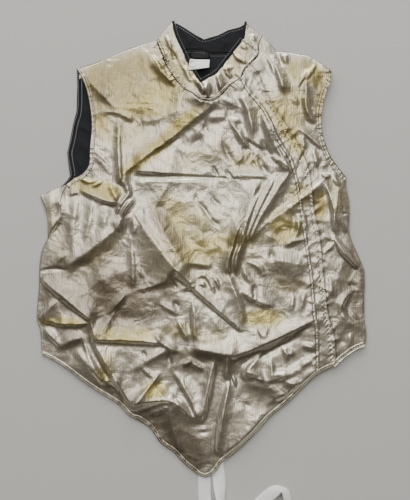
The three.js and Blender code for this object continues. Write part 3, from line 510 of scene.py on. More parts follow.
# %% Corrections and the last small creases
CREASES += [
    # Beside the foot of the collar
    (-94, 346, -72, 306, 0, 2.5, 1, 4, 4, -3),
    (-72, 306, -44, 273, 1, 2.5, 0, 4, 4, -3),
    (-86, 330, -64, 290, 0, 1.5, 0, 4, 5, -3),
    # Lower right
    (66, -224, 112, -236, 0, 3, 0, 20, 26, 0),
    # Corrections of large folds
    (-163, 318, -171, 256, -2.5, -1, 0, 40, 12, 1),
    (73, 13, 140, 70, -1, -3.5, -2, 12, 34, 4),
    (-124, 5, -121, -68, -0.5, -2.5, -1.5, 20, 14, 0),
    (-119, -68, -58, -48, -0.5, -1.5, -2, 26, 12, -3),
    (20, 250, -63, 184, -1, -1, -1, 9, 46, 0),
    (-55, 190, -134, 131, -1.5, -1.5, -1, 10, 46, -2),
    (-88, 328, -42, 275, -1, -2, -1, 7, 18, -3),
    (-197, 289, -146, 235, -1, -1.5, 0, 28, 12, -2),
    (-172, 233, -121, 216, 0, -2, -1, 38, 9, 6),
    (-116, 264, -44, 269, -1, -2, -1, 24, 12, -5),
    (-112, 219, -60, 232, -1, -2, -1, 20, 12, -6),
    (229, -105, 268, -134, -2, -3.5, -1, 12, 26, -2),
    # Small marks in other places
    (-129, 30, -121, -60, 0, 1.4, 0.5, 5, 14, 4),
    (-200, -60, -120, -30, 0, 2, 0, 30, 30, 0),
    (-45, 262, 40, 240, 0, 2, 0, 12, 14, 0),
    (0, -100, 40, -150, 0, 2, 0, 20, 20, 0),
    (44, -212, 52, -232, 0, 4, 0, 6, 6, 2),
    (40, -208, 46, -228, 0, -3, 0, 5, 5, 2),
    (-30, -182, 0, -205, 0, 3, 0, 10, 12, 0),
    (-38, -196, -22, -186, 0, 3, 0, 8, 8, 0),
]

print(len(CREASES), "fine creases in all")

# %% [markdown]
# The collar is stiff and buckles into short kinks where it bends round the neck. The lining, the labels and
# the back only ripple. Each has a table of its own, because they lie over one another at the same place.

# %% Creases of the collar, the lining, the labels and the back
COLLAR_CREASES = [
    # x0, y0, x1, y1, rise0, middle, rise1, left, right, bow
    (-66, 366, -50, 330, 0, 4.5, 0, 8, 6, -2),
    (-57, 348, -45, 312, 0, -4.5, 0, 7, 6, -2),
    (-80, 355, -62, 318, 1.8, 3.6, 1.8, 6, 5, -2),
    (-44, 330, -30, 300, 0, 2.7, 0, 8, 6, -2),
    (-36, 312, -22, 282, 0, 4.5, 0, 8, 9, 0),
    (-20, 292, 2, 262, 1.8, 3.6, 1.8, 9, 6, 0),
    (-10, 284, -4, 262, 1.8, 5.4, 3.6, 9, 4, 2),
    (2, 286, 4, 258, 0, 5.4, 1.8, 10, 12, 0),
    (18, 300, 28, 266, 0, 5.4, 1.8, 12, 8, 2),
    (34, 314, 46, 290, 0, 3.6, 0, 9, 8, -3),
    (47, 338, 62, 318, 0, 3.6, 1.8, 4, 4, -2),
    (54, 332, 70, 316, 0, 3.6, 1.8, 4, 4, -2),
    (30, 304, 52, 312, 0, 2.7, 0, 6, 6, 0),
    (60, 350, 70, 338, 0, 2, 0, 7, 7, 0),
    (-24, 262, 26, 262, 0, 3.6, 0, 8, 8, -5),
    (76, 366, 84, 352, 0, 2, 0, 5, 7, 2),
]
LINING_CREASES = [
    # x0, y0, x1, y1, rise0, middle, rise1, left, right, bow
    (-212, 234, -192, 234, 1, 2, 1, 10, 4, 2),
    (-216, 212, -190, 194, 1, 2, 1, 10, 5, 2),
    (-216, 188, -192, 164, 1, 2, 1, 12, 5, -2),
    (-222, 160, -206, 130, 1, 2, 1, 8, 6, 0),
    (-228, 150, -216, 120, 1, 1, 1, 6, 6, 0),
    (-44, 376, -26, 350, 1, 2, 0, 8, 5, 3),
    (-22, 362, -30, 346, 0, 1.5, 0, 6, 6, 0),
    (20, 362, 44, 350, 0, 2, 1, 8, 5, -3),
    (34, 356, 28, 338, 0, 1.5, 0, 6, 6, 0),
    (14, 322, 30, 304, 0, 2, 0, 8, 6, 0),
    (0, 305, 20, 300, 0, 2, 0, 8, 6, 0),
]
LABEL_CREASES = [
    # x0, y0, x1, y1, rise0, middle, rise1, left, right, bow
    (-27, 309, 6, 313, 0, 1.6, 1, 6, 4, 1),
    (-10, 325, -6, 305, 0, 0.8, 0, 8, 6, 0),
]
BACK_CREASES = [
    # x0, y0, x1, y1, rise0, middle, rise1, left, right, bow
    (-180, 240, -60, 180, 0, 0.4, 0, 14, 10, 4),
    (60, 190, 170, 250, 0, 0.4, 0, 10, 16, -4),
    (-200, 60, -40, 20, 0, 0.4, 0, 20, 12, 6),
    (-30, 130, 90, 110, 0, -0.3, 0, 14, 14, 0),
    (20, 0, 190, 40, 0, 0.4, 0, 12, 22, -5),
    (-230, -70, -90, -110, 0, 0.4, 0, 18, 12, 5),
    (-80, -150, -10, -280, 0, 0.4, 0, 14, 14, 0),
    (70, -120, 30, -260, 0, 0.4, 0, 12, 16, 4),
    (120, -60, 220, -120, 0, -0.3, 0, 14, 14, 0),
    (-10, 300, 10, 200, 0, 0.3, 0, 20, 20, 0),
    (-120, -10, -60, -90, 0, 0.3, 0, 14, 10, 3),
    (110, 120, 150, 20, 0, 0.3, 0, 14, 10, 3),
]

print(len(COLLAR_CREASES), "creases on the collar")

# %% [markdown]
# A fold could be modelled by extruding and bevelling edges of the panel. Worked out as a height at each
# point instead, a fold can run on from one panel to the next, and can be moved by changing one row.

# %% The height of a table of folds
# Millimetres over which a large fold and a fine crease fade out at each end
FOLD_FADE = 18
CREASE_FADE = 8
# 1 makes a fold's flanks straight, and more makes them hollow: first as in the model, then as in the picture
FOLD_SHARPNESS = 1.15
CREST_SHARPNESS = 1.6
# A fold narrows where it is low, down to this share of its width
LEAST_WIDTH = 0.45


def fold_rise(folds, fade, x, y, sharpness=FOLD_SHARPNESS):
    """The height that a table of folds adds at each point."""
    total = np.zeros(x.shape)
    for x0, y0, x1, y1, rise0, middle, rise1, left, right, bow in folds:
        dx, dy = x1 - x0, y1 - y0
        length = math.hypot(dx, dy)
        along = ((x - x0) * dx + (y - y0) * dy) / length ** 2
        off = ((y - y0) * dx - (x - x0) * dy) / length - bow * 4 * along * (1 - along)
        t = np.clip(along, 0, 1)
        rise = rise0 * (1 - t) * (1 - 2 * t) + middle * 4 * t * (1 - t) + rise1 * t * (2 * t - 1)
        most = max(abs(rise0), abs(middle), abs(rise1))
        width = np.where(off > 0, left, right) * (LEAST_WIDTH + (1 - LEAST_WIDTH) * np.abs(rise) / most)
        across = np.clip(1 - np.abs(off) / width, 0, 1)
        from_end = np.minimum(along, 1 - along) * length
        total += rise * smooth_between(-fade / 2, fade / 2, from_end) * across ** sharpness
    return total


chest = fold_rise(FOLDS, FOLD_FADE, np.array([-84.0]), np.array([15.0]))[0]
print(f"the long crest is {chest:.1f} mm high halfway")

# %% [markdown]
# Handling and damp have yellowed the silver in patches. A noise could spread them, but these have their own
# places, so each is an ellipse with a soft edge, placed where the cloth shows one.

# %% Yellowed patches
PATCHES = [
    # x, y, half width, half length, turn in degrees, strength
    (-187, 288, 14, 24, 0, 1.0),
    (-176, 222, 14, 34, 8, 0.88),
    (-92, 280, 62, 52, -20, 0.94),
    (-110, 240, 48, 16, 0, 0.88),
    (-100, 160, 60, 14, 38, 1.0),
    (-40, 215, 46, 12, 38, 1.0),
    (-200, 108, 30, 14, -12, 0.88),
    (-165, 100, 26, 16, -20, 1.0),
    (-35, 32, 40, 52, 25, 0.69),
    (15, 5, 70, 20, 15, 0.75),
    (-60, 60, 22, 40, 20, 0.56),
    (-180, -10, 44, 16, 40, 0.5),
    (-240, -122, 42, 9, 0, 1.0),
    (-135, -142, 56, 15, 0, 1.0),
    (-168, -200, 15, 24, -20, 1.0),
    (-85, -238, 20, 18, 30, 1.0),
    (-40, -136, 30, 14, 0, 0.62),
    (133, 40, 30, 30, 0, 1.0),
    (160, 92, 24, 18, 30, 0.75),
    (195, 75, 12, 26, 0, 1.0),
    (98, -115, 36, 16, 0, 1.0),
    (140, -60, 30, 16, 0, 0.38),
    (138, 205, 14, 58, 28, 1.0),
    (70, 150, 30, 16, 0, 0.62),
    (95, 240, 22, 22, 0, 0.44),
    (170, 300, 40, 20, -15, 0.94),
    (150, 240, 30, 40, 20, 0.75),
    (196, 262, 10, 36, 0, 0.75),
    (222, 90, 12, 26, 0, 0.69),
    (10, -145, 26, 14, 10, 0.44),
    (-250, 20, 10, 60, 10, 0.38),
    (-20, 300, 26, 22, 35, 0.62),
    (-150, 285, 64, 40, 18, 0.95),
    (-130, 200, 40, 30, 20, 0.5),
    (50, 320, 18, 40, -30, 0.5),
    (-60, 330, 14, 40, 28, 0.6),
    (-20, 150, 60, 18, 20, 0.35),
    (0, -10, 110, 60, 10, 0.3),
]

print(len(PATCHES), "yellowed patches")

# %% [markdown]
# Some facets of the real vest face something dark in the room and look dark. No fold turns that far here, so
# a painted shade darkens those facets and a few slits and flanks in the cloth's own colour, with a second
# table of the same kind.

# %% Painted shade
PAINTED_SHADES = [
    # x, y, half width, half length, turn in degrees, strength
    (-62, -318, 62, 34, -42, 0.7),
    (-20, -352, 16, 34, 0, 0.55),
    (-135, -252, 44, 14, -30, 0.6),
    (0, -192, 62, 20, 0, 0.6),
    (-30, -178, 46, 14, 0, 0.5),
    (116, -157, 72, 11, 24, 0.62),
    (112, -232, 34, 7, -30, 0.45),
    (245, -60, 28, 60, 0, 0.5),
    (240, -125, 30, 40, 0, 0.15),
    (125, -55, 50, 24, 0, 0.4),
    (-215, -30, 50, 26, -20, 0.35),
    (-150, -85, 70, 54, 0, 0.9),
    (-8, 271, 4, 13, 20, 0.9),
    (-215, 0, 40, 30, 30, 0.3),
    (-240, -70, 44, 34, -30, 0.45),
    (-160, -20, 50, 24, 30, 0.35),
    (-150, 285, 70, 44, 20, 0.5),
    (-110, 190, 50, 40, 20, 0.15),
    (-250, -80, 26, 40, 0, 0.35),
    (-225, -150, 30, 20, 0, 0.55),
    (-75, -75, 44, 40, 0, 0.35),
    (-85, 45, 26, 50, 18, 0.2),
    (-68, 46, 15, 54, 29, 0.5),
    (50, -20, 22, 26, 0, 0.4),
    (10, 262, 40, 12, 20, 0.7),
    (-52, 300, 12, 44, 28, 0.35),
    (-150, 60, 20, 30, 10, 0.3),
]


def patch_strength(patches, x, y):
    """From 0 to 1: how strongly the patches of a table cover each point."""
    bare = np.ones(x.shape)
    for centre_x, centre_y, half_width, half_length, turn, strength in patches:
        angle = math.radians(turn)
        u = ((x - centre_x) * math.cos(angle) + (y - centre_y) * math.sin(angle)) / half_width
        v = ((y - centre_y) * math.cos(angle) - (x - centre_x) * math.sin(angle)) / half_length
        bare *= 1 - strength * smooth_between(1.5, 0.5, np.hypot(u, v))
    return 1 - bare


print(len(PAINTED_SHADES), "dull patches")

# %% [markdown]
# ## Crinkles and puckers
#
# Between the folds the cloth is never flat. A noise of soft ridges stands for the crinkles that nobody
# would place one by one. It is worked out here, and not with a Displace modifier, so that it can fade out
# at the edges and so that a crest is sharper than a hollow.

# %% Crinkles
CRINKLE_SEED = 11
CRINKLE_LAYERS = [
    # cell in mm across and along, rise in mm
    (80, 100, 2.4),
    (46, 60, 1.5),
    (22, 28, 0.75),
    (11, 13, 0.32),
]
# How far a ridge is bent, as a share of its cell
CRINKLE_BEND = 1.6
RIDGE_SHARPNESS = 1.3
# The noise repeats after this many cells
NOISE_CELLS = 64


def soft_noise(x, y, cell_x, cell_y, seed):
    """Smooth random values from 0 to 1, one new value in each cell."""
    grid = np.random.default_rng(seed).random((NOISE_CELLS, NOISE_CELLS))
    u, v = x / cell_x + 1000, y / cell_y + 1000
    i, j = np.floor(u).astype(int), np.floor(v).astype(int)
    s, t = u - i, v - j
    s, t = s * s * (3 - 2 * s), t * t * (3 - 2 * t)
    near, far = ([grid[(i + a) % NOISE_CELLS, (j + b) % NOISE_CELLS] for a in (0, 1)] for b in (0, 1))
    return (near[0] * (1 - s) + near[1] * s) * (1 - t) + (far[0] * (1 - s) + far[1] * s) * t


def crinkle_rise(x, y):
    """Soft ridges of several sizes, bent so that they run every way."""
    total = np.zeros(x.shape)
    for order, (cell_x, cell_y, rise) in enumerate(CRINKLE_LAYERS):
        seed = CRINKLE_SEED + 10 * order
        bend_x = (soft_noise(x, y, cell_x * 2, cell_y * 2, seed + 1) - 0.5) * cell_x * CRINKLE_BEND
        bend_y = (soft_noise(x, y, cell_x * 2, cell_y * 2, seed + 2) - 0.5) * cell_y * CRINKLE_BEND
        wave = soft_noise(x + bend_x, y + bend_y, cell_x, cell_y, seed)
        total += rise * (1 - np.abs(2 * wave - 1)) ** RIDGE_SHARPNESS
    return total


print("crinkles in", len(CRINKLE_LAYERS), "sizes")

# %% [markdown]
# Thread also gathers the cloth, which makes small ridges across each row of stitches. They are drawn along
# the seam itself, with uneven spaces, because a noise would not line up with the thread.

# %% Puckers along the seams
SEWN_LINES = [
    # line, pitch, rise, reach to each side, seed
    (hem, 15, 1.0, 14, 3),
    (armhole_left, 11, 0.8, 10, 4),
    (armhole_right, 10, 1.1, 10, 5),
    (fly_seam, 13, 1.1, 11, 7),
    (fly_free, 16, 1.2, 12, 6),
    (neck_seam, 9, 1.5, 11, 8),
]
# Least and most: widths and spaces as shares of the pitch, heights as shares of the rise
PUCKER_WIDTH = (0.35, 0.6)
PUCKER_HEIGHT = (0.3, 1.2)
PUCKER_SLANT = (-0.8, 0.8)
PUCKER_SPACE = (0.6, 1.5)
# Millimetres: the groove that the thread presses along the fly's seam
GROOVE_DEPTH = 0.2
GROOVE_WIDTH = 2.0


def pucker_rise(line, pitch, rise, reach, seed, x, y):
    """Small ridges across a line of stitches, at uneven spaces, slants and sizes."""
    distance, side, along = beside(line, x, y)
    length = np.hypot(*np.diff(line, axis=0).T).sum()
    rng = np.random.default_rng(seed)
    at, total = 0.0, np.zeros(x.shape)
    fade = np.exp(-(distance / reach) ** 2)
    while at < length:
        width, height = rng.uniform(*PUCKER_WIDTH) * pitch, rise * rng.uniform(*PUCKER_HEIGHT)
        slant = rng.uniform(*PUCKER_SLANT)
        off = np.abs(along - at - slant * distance * side) / width
        total += height * np.clip(1 - off, 0, 1) ** RIDGE_SHARPNESS * fade
        at += pitch * rng.uniform(*PUCKER_SPACE)
    return total


def seam_rise(x, y):
    """Everything that the seams and hems of the front do to its height."""
    total = -GROOVE_DEPTH * np.exp(-(beside(fly_seam, x, y)[0] / GROOVE_WIDTH) ** 2)
    for sewn_line in SEWN_LINES:
        total += pucker_rise(*sewn_line, x, y)
    return total


print(len(SEWN_LINES), "puckered seams")

# %% [markdown]
# ## From a packed panel to a creased panel
#
# The panel's own upper face has the right outline and lies in the right place, so a copy of it is merged,
# cut free from its underside and divided until its edges are 2 to 3 mm long. The large folds are taken off
# the rough mesh, which leaves a gentle surface that can be smoothed, and are put back on the fine one
# together with the creases. A Solidify modifier then gives the cloth its thickness, on the side of the
# back.

# %% The upper face of a packed panel
# A face that points up less than this belongs to the underside or to the edge between the two
LEAST_UPWARD = 0.05


def upper_face(node):
    """The upper face of a packed panel, as a bmesh in millimetres from the pattern's zero."""
    bm = bmesh.new()
    bm.from_mesh(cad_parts[node].data)
    bmesh.ops.remove_doubles(bm, verts=bm.verts, dist=1e-6)
    bm.normal_update()
    bmesh.ops.delete(bm, geom=[face for face in bm.faces if face.normal.z < LEAST_UPWARD], context="FACES")
    bmesh.ops.transform(bm, matrix=Matrix.Scale(1 / MM, 4) @ Matrix.Translation(-zero), verts=bm.verts)
    return bm


def heights(bm):
    co = np.array([vert.co for vert in bm.verts])
    return co[:, 0], co[:, 1], co[:, 2]


def set_heights(bm, z):
    for vert, height in zip(bm.verts, z):
        vert.co.z = height


bm = upper_face("front_main")
print(len(bm.faces), "faces on the upper side of the packed front")
bm.free()

# %% [markdown]
# A finished piece keeps its place in its mesh, so its object sits at the origin. Its surface is remembered
# too, so that what is laid on it later can ask how high it is. The yellowed patches and the painted shade are
# stored at its points, where the material reads them.

# %% A finished piece
# Thickness in mm
CLOTH = 0.7
# A painted shadow: a dark line in the side panel's colour, beside the free edge of the fly strip
GAPS = {"front_side_cloth": fly_free}
GAP_WIDTH = 4.5
GAP_STRENGTH = 0.95
surfaces = {}


def finished(name, bm, node, material, thickness=CLOTH):
    """Makes the object of a panel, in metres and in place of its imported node."""
    x, y, _ = heights(bm)
    # Painted shade: the shade patches darken the cloth's colour at these points
    painted_shade = patch_strength(PAINTED_SHADES, x, y)
    if name in GAPS:
        # Painted shadow beside the fly strip's free edge, joined to the painted shade
        near_gap = smooth_between(GAP_WIDTH, 0, beside(GAPS[name], x, y)[0])
        painted_shade = np.maximum(painted_shade, GAP_STRENGTH * near_gap)
    colours = {"yellow": patch_strength(PATCHES, x, y), "painted_shade": painted_shade}
    bmesh.ops.transform(bm, matrix=Matrix.Translation(zero) @ Matrix.Scale(MM, 4), verts=bm.verts)
    surfaces[name] = BVHTree.FromBMesh(bm)
    mesh = bpy.data.meshes.new(name)
    bm.to_mesh(mesh)
    bm.free()
    mesh.shade_smooth()
    mesh.materials.append(material)
    for attribute, values in colours.items():
        mesh.attributes.new(attribute, "FLOAT", "POINT").data.foreach_set("value", values)
    piece = bpy.data.objects.new(name, mesh)
    bpy.context.scene.collection.objects.link(piece)
    if thickness:
        wall = piece.modifiers.new("cloth", "SOLIDIFY")
        wall.thickness = thickness * MM
        wall.offset = -1
    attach(piece, "root")
    if node:
        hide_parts(node)
    print(f"{name}: {len(mesh.polygons)} faces")
    return piece


# %% [markdown]
# The outline of a panel has to stay where the hems and its neighbours meet it, so folds and crinkles fade out
# towards the outline of the vest. What the seams do to the cloth doesn't fade.

# %% A creased panel
# Folds and crinkles go from 0 to 1 between these distances from the outline, in mm
EDGE_FADE = (-5, 11)
# The front's underside stays this high, so that it can't sink into the lining
LEAST_HEIGHT = 2.6
# The average height of the crinkles, which is taken off again
CRINKLE_MEAN = 1.8
SMOOTHINGS = 6
SMOOTH_FACTOR = 0.5


def creased_panel(node, cuts, folds=FOLDS, creases=CREASES, crinkle=1.0):
    """A panel with its folds, its creases, its crinkles and what its seams do to it."""
    bm = upper_face(node)
    x, y, z = heights(bm)
    edge = smooth_between(*EDGE_FADE, beside(silhouette, x, y)[0])
    set_heights(bm, z - fold_rise(folds, FOLD_FADE, x, y) * edge)
    bmesh.ops.subdivide_edges(bm, edges=bm.edges, cuts=cuts, use_grid_fill=True)
    for _ in range(SMOOTHINGS):
        bmesh.ops.smooth_vert(bm, verts=bm.verts, factor=SMOOTH_FACTOR, use_axis_z=True)
    x, y, base = heights(bm)
    edge = smooth_between(*EDGE_FADE, beside(silhouette, x, y)[0])
    z = base + fold_rise(folds, FOLD_FADE, x, y, CREST_SHARPNESS) * edge
    z += fold_rise(creases, CREASE_FADE, x, y, CREST_SHARPNESS) * edge
    z += (crinkle_rise(x, y) - CRINKLE_MEAN) * edge * crinkle + seam_rise(x, y)
    set_heights(bm, np.maximum(z, np.minimum(base, LEAST_HEIGHT + CLOTH)))
    return bm


print(f"folds fade out over {EDGE_FADE[1]} mm beside the outline")

# %% [markdown]
# ## Colours and nodes
#
# Colours are picked as sRGB hex values, as on a colour card, but a shader works with linear light. Every
# look below is built with one small function that adds a node, sets it and links it.

# %% One function for nodes
def linear(hex_colour):
    """An sRGB hex colour as the linear values that a shader takes."""
    channels = [int(hex_colour[i:i + 2], 16) / 255 for i in (1, 3, 5)]
    return [c / 12.92 if c <= 0.04045 else ((c + 0.055) / 1.055) ** 2.4 for c in channels] + [1.0]


def add_node(tree, kind, inputs=None, **settings):
    """A node with its settings, its input values and its links."""
    node = tree.nodes.new(kind)
    for name, value in settings.items():
        setattr(node, name, value)
    for name, value in (inputs or {}).items():
        if isinstance(value, bpy.types.NodeSocket):
            tree.links.new(value, node.inputs[name])
        else:
            node.inputs[name].default_value = value
    return node


def new_material(name):
    material = bpy.data.materials.new(name)
    material.use_nodes = True
    tree = material.node_tree
    shader = tree.nodes["Principled BSDF"]
    return material, tree, shader


print(f"mid grey is {linear('#808080')[0]:.3f} in linear light")

# %% [markdown]
# ## Metallic cloth
#
# Lame is a polyester cloth with a skin of metal on its threads, so it shines like satin but is too rough to
# mirror. It has the colour of dull nickel silver, and it yellows where it was handled and stored. Four
# reliefs break up its shine: flat facets, small wrinkles, bent ridges and the weave. The weave is far finer
# than a pixel of the picture, so it is drawn about three times too coarse.

# %% Silvered lame cloth
SILVER = "#b2ab9b"
YELLOWED = "#9a8d5b"
# Painted shade: the dark grey-brown that the shade patches mix into the cloth
PAINTED_SHADE_GREY = "#6f6557"
BETWEEN_THREADS = "#3d3a33"
METALLIC = 0.9
CLOTH_ROUGHNESS = 0.26
CLOUDS_PER_METRE = 24.0
CLOUD_EDGES = (0.12, 0.48)
THREAD_EDGES = (0.3, 0.7)
THREAD_SHADE = 0.25
# Millimetres: a thread and a slub of the weave, a facet, a wrinkle and a bent ridge
THREAD = 1.6
SLUB = 26
CRUMPLE_CELL = 24
WRINKLE_CELL = 11
BEND_CELL = 34


def mixed(tree, amount, low, high):
    """A colour between two, at a socket's or a plain amount."""
    return add_node(tree, "ShaderNodeMix", {"Factor": amount, 6: low, 7: high},
                    data_type="RGBA").outputs[2]


def metallic_cloth(name):
    material, tree, shader = new_material(name)
    place = add_node(tree, "ShaderNodeTexCoord").outputs["Object"]
    yellow = add_node(tree, "ShaderNodeAttribute", attribute_name="yellow").outputs["Fac"]
    painted_shade = add_node(tree, "ShaderNodeAttribute", attribute_name="painted_shade").outputs["Fac"]
    cloud = add_node(tree, "ShaderNodeTexNoise", {"Vector": place, "Scale": CLOUDS_PER_METRE,
                                                  "Detail": 5.0, "Roughness": 0.6})
    blotch = add_node(tree, "ShaderNodeMapRange", {"Value": cloud.outputs["Fac"],
                                                   "From Min": CLOUD_EDGES[0], "From Max": CLOUD_EDGES[1]})
    stain = add_node(tree, "ShaderNodeMath", {0: yellow, 1: blotch.outputs["Result"]}, operation="MULTIPLY")
    silver = mixed(tree, stain.outputs["Value"], linear(SILVER), linear(YELLOWED))
    # Painted shade: the silver turns dark grey-brown where the shade patches lie
    toned = mixed(tree, painted_shade, silver, linear(PAINTED_SHADE_GREY))
    along = add_node(tree, "ShaderNodeMapping", {"Vector": place, "Scale": (1000 / THREAD, 1000 / SLUB, 1)})
    weave = add_node(tree, "ShaderNodeTexNoise", {"Vector": along.outputs["Vector"], "Scale": 1.0,
                                                  "Detail": 2.0})
    thread = add_node(tree, "ShaderNodeMapRange", {"Value": weave.outputs["Fac"],
                                                   "From Min": THREAD_EDGES[0], "From Max": THREAD_EDGES[1],
                                                   "To Min": 0.0, "To Max": THREAD_SHADE})
    base = mixed(tree, thread.outputs["Result"], toned, linear(BETWEEN_THREADS))
    tree.links.new(base, shader.inputs["Base Color"])
    crumple = add_node(tree, "ShaderNodeTexVoronoi", {"Vector": place, "Scale": 1000 / CRUMPLE_CELL})
    wrinkle = add_node(tree, "ShaderNodeTexNoise", {"Vector": place, "Scale": 1000 / WRINKLE_CELL / 2,
                                                    "Detail": 2.5, "Distortion": 0.8})
    bent = add_node(tree, "ShaderNodeTexNoise", {"Vector": place, "Scale": 1000 / BEND_CELL / 2,
                                                 "Detail": 3.0, "Distortion": 1.2},
                    noise_type="RIDGED_MULTIFRACTAL", normalize=True)
    reliefs = [
        # height, strength, depth in metres
        (crumple.outputs["Distance"], 0.5, 0.0012),
        (wrinkle.outputs["Fac"], 0.5, 0.003),
        (bent.outputs["Fac"], 0.5, 0.004),
        (weave.outputs["Fac"], 0.4, 0.0007),
    ]
    under = {}
    for height, strength, depth in reliefs:
        bump = add_node(tree, "ShaderNodeBump", {"Height": height, "Strength": strength,
                                                 "Distance": depth, **under})
        under = {"Normal": bump.outputs["Normal"]}
    tree.links.new(bump.outputs["Normal"], shader.inputs["Normal"])
    shader.inputs["Metallic"].default_value = METALLIC
    shader.inputs["Roughness"].default_value = CLOTH_ROUGHNESS
    return material


lame_cloth = metallic_cloth("silvered_lame_cloth")
print("metallic cloth ready")

# %% [markdown]
# ## Lining, tape, label and elastic
#
# The lining is a plain charcoal cotton, the main neck label a black woven tape, the size label white satin
# and the strap a ribbed white elastic. None of them is metallic, so their looks are all in weave, roughness
# and sheen.

# %% Plain cloths
# Radians that a wave texture of scale 1 runs through in one unit of its coordinates
WAVE_FACTOR = 20
FADING_PER_METRE = 22.0
PLAIN_SHINE = 0.25


def bands_scale(pitch):
    """The scale that makes a wave texture's bands a pitch apart."""
    return 2 * math.pi / WAVE_FACTOR / pitch


def woven_cloth(name, dark, light, thread, roughness, bump_depth, sheen=0.0):
    """A matt cloth with crossing threads of a given spacing in mm."""
    material, tree, shader = new_material(name)
    place = add_node(tree, "ShaderNodeTexCoord").outputs["Object"]
    warp, weft = (add_node(tree, "ShaderNodeTexWave", {"Vector": place, "Scale": bands_scale(thread * MM),
                                                       "Distortion": 1.5}, bands_direction=direction)
                  for direction in ("X", "Y"))
    cross = add_node(tree, "ShaderNodeMath", {0: warp.outputs["Fac"], 1: weft.outputs["Fac"]},
                     operation="MULTIPLY")
    cloud = add_node(tree, "ShaderNodeTexNoise", {"Vector": place, "Scale": FADING_PER_METRE,
                                                  "Detail": 4.0})
    base = mixed(tree, cloud.outputs["Fac"], linear(dark), linear(light))
    tree.links.new(base, shader.inputs["Base Color"])
    bump = add_node(tree, "ShaderNodeBump", {"Height": cross.outputs["Value"], "Strength": 0.5,
                                             "Distance": bump_depth})
    tree.links.new(bump.outputs["Normal"], shader.inputs["Normal"])
    shader.inputs["Roughness"].default_value = roughness
    shader.inputs["Specular IOR Level"].default_value = PLAIN_SHINE
    shader.inputs["Sheen Weight"].default_value = sheen
    return material


cotton_lining = woven_cloth("charcoal_cotton_lining", "#0f1012", "#1b1c1f", 1.4, 0.85, 0.0003)
woven_tape = woven_cloth("black_woven_tape", "#060607", "#0e0e0f", 1.0, 0.55, 0.0002)
satin_label = woven_cloth("white_satin_ribbon", "#c9cac4", "#dddeda", 0.9, 0.45, 0.0001, 0.2)
polyester_thread = woven_cloth("pale_polyester_thread", "#c8c2b0", "#e6e2d6", 0.8, 0.5, 0.0001)
lining_thread = woven_cloth("grey_polyester_thread", "#7b7c80", "#9a9b9f", 0.8, 0.6, 0.0001)
print("plain cloths ready")

# %% [markdown]
# ## The front panels and the collar
#
# These panels carry the picture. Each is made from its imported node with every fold, crinkle and pucker on
# it. The collar is doubled cloth and stiffer, so it crinkles less and has its own creases.

# %% Creased panels
FRONT_PANELS = [
    # name, node, cuts
    ("front_main_cloth", "front_main", 5),
    ("front_side_cloth", "front_side", 5),
    ("back_underarm_cloth", "back_underarm", 4),
]
COLLAR_CRINKLE = 0.7

for name, node, cuts in FRONT_PANELS:
    finished(name, creased_panel(node, cuts), node, lame_cloth)
for node in ("collar_front", "collar_side"):
    stand = creased_panel(node, 5, [], COLLAR_CREASES, COLLAR_CRINKLE)
    finished(f"{node}_cloth", stand, node, lame_cloth)

# %% [markdown]
# ## The back, the lining and the labels
#
# These lie under the front, pressed flat by it, and show only inside the neck and the left armhole. They
# need no smoothing and no puckers, so a short loop makes them from the same tables and noise.

# %% Plain panels
PLAIN_PANELS = [
    # name, node, cuts, cloth, share of the crinkles, creases
    ("back_cloth", "back", 7, lame_cloth, 0.12, BACK_CREASES),
    ("back_lining_cloth", "back_lining", 9, cotton_lining, 0.25, LINING_CREASES),
    ("collar_back_cloth", "collar_back", 4, lame_cloth, 0.05, []),
    ("collar_back_lining_cloth", "collar_back_lining", 9, cotton_lining, 0.2, LINING_CREASES),
    ("label_woven_tape", "label_woven", 5, woven_tape, 0.0, []),
    ("label_size_ribbon", "label_size", 9, satin_label, 0.2, LABEL_CREASES),
]

for name, node, cuts, cloth, crinkle, creases in PLAIN_PANELS:
    bm = upper_face(node)
    bmesh.ops.subdivide_edges(bm, edges=bm.edges, cuts=cuts, use_grid_fill=True)
    x, y, z = heights(bm)
    z += crinkle * (crinkle_rise(x, y) - CRINKLE_MEAN) + fold_rise(creases, CREASE_FADE, x, y)
    set_heights(bm, z)
    finished(name, bm, node, cloth)

# %% [markdown]
# ## Bands that follow an edge
#
# The fly strip, the turned hems and the collar's rolled edge are all long and narrow. On the real vest each
# is a strip of cloth folded over and sewn down, and the sewing pulls it into small ridges. A strip modelled
# row by row along its edge keeps those ridges crisp where a panel's own mesh is too coarse. Each band rests
# on what lies under it.

# %% Strips that rest on the cloth
# Millimetres: the space between rows, a height near the cloth's and the thickness of a band
BAND_STEP = 1.5
USUAL_HEIGHT = 3.0
BAND_CLOTH = 0.4
# Metres: the height from which a ray looks down
LOOK_DOWN_FROM = 0.1


def top_height(names, x, y):
    """The height in mm of the highest of some finished pieces under a point, or beside it."""
    place = zero + Vector((x, y, 0)) * MM
    above = (place.x, place.y, LOOK_DOWN_FROM)
    found = [surfaces[name].ray_cast(above, (0, 0, -1))[0] for name in names]
    found = [hit.z for hit in found if hit]
    if not found:
        near = Vector((place.x, place.y, USUAL_HEIGHT * MM))
        found = [surfaces[names[0]].find_nearest(near)[0].z]
    return max(found) / MM


def even_steps(line, step):
    """Evenly spaced points along a line, the direction to the left at each, and how far along each is."""
    lengths = np.concatenate([[0], np.cumsum(np.hypot(*np.diff(line, axis=0).T))])
    along = np.linspace(0, lengths[-1], max(2, round(lengths[-1] / step) + 1))
    points = np.column_stack([np.interp(along, lengths, line[:, axis]) for axis in (0, 1)])
    ahead = np.gradient(points, axis=0)
    ahead /= np.hypot(*ahead.T)[:, None]
    return points, np.column_stack([-ahead[:, 1], ahead[:, 0]]), along


def uneven_wave(along, pitch, seed):
    """Ridges from 0 to 1 about a pitch apart, no two alike."""
    rng = np.random.default_rng(seed)
    count = int(along[-1] / pitch * 2) + 4
    knots = np.cumsum(rng.uniform(0.7, 1.3, count)) * pitch / 2 - pitch
    values = np.where(np.arange(count) % 2, rng.uniform(0.5, 1, count), rng.uniform(0, 0.3, count))
    return np.interp(along, knots, values)


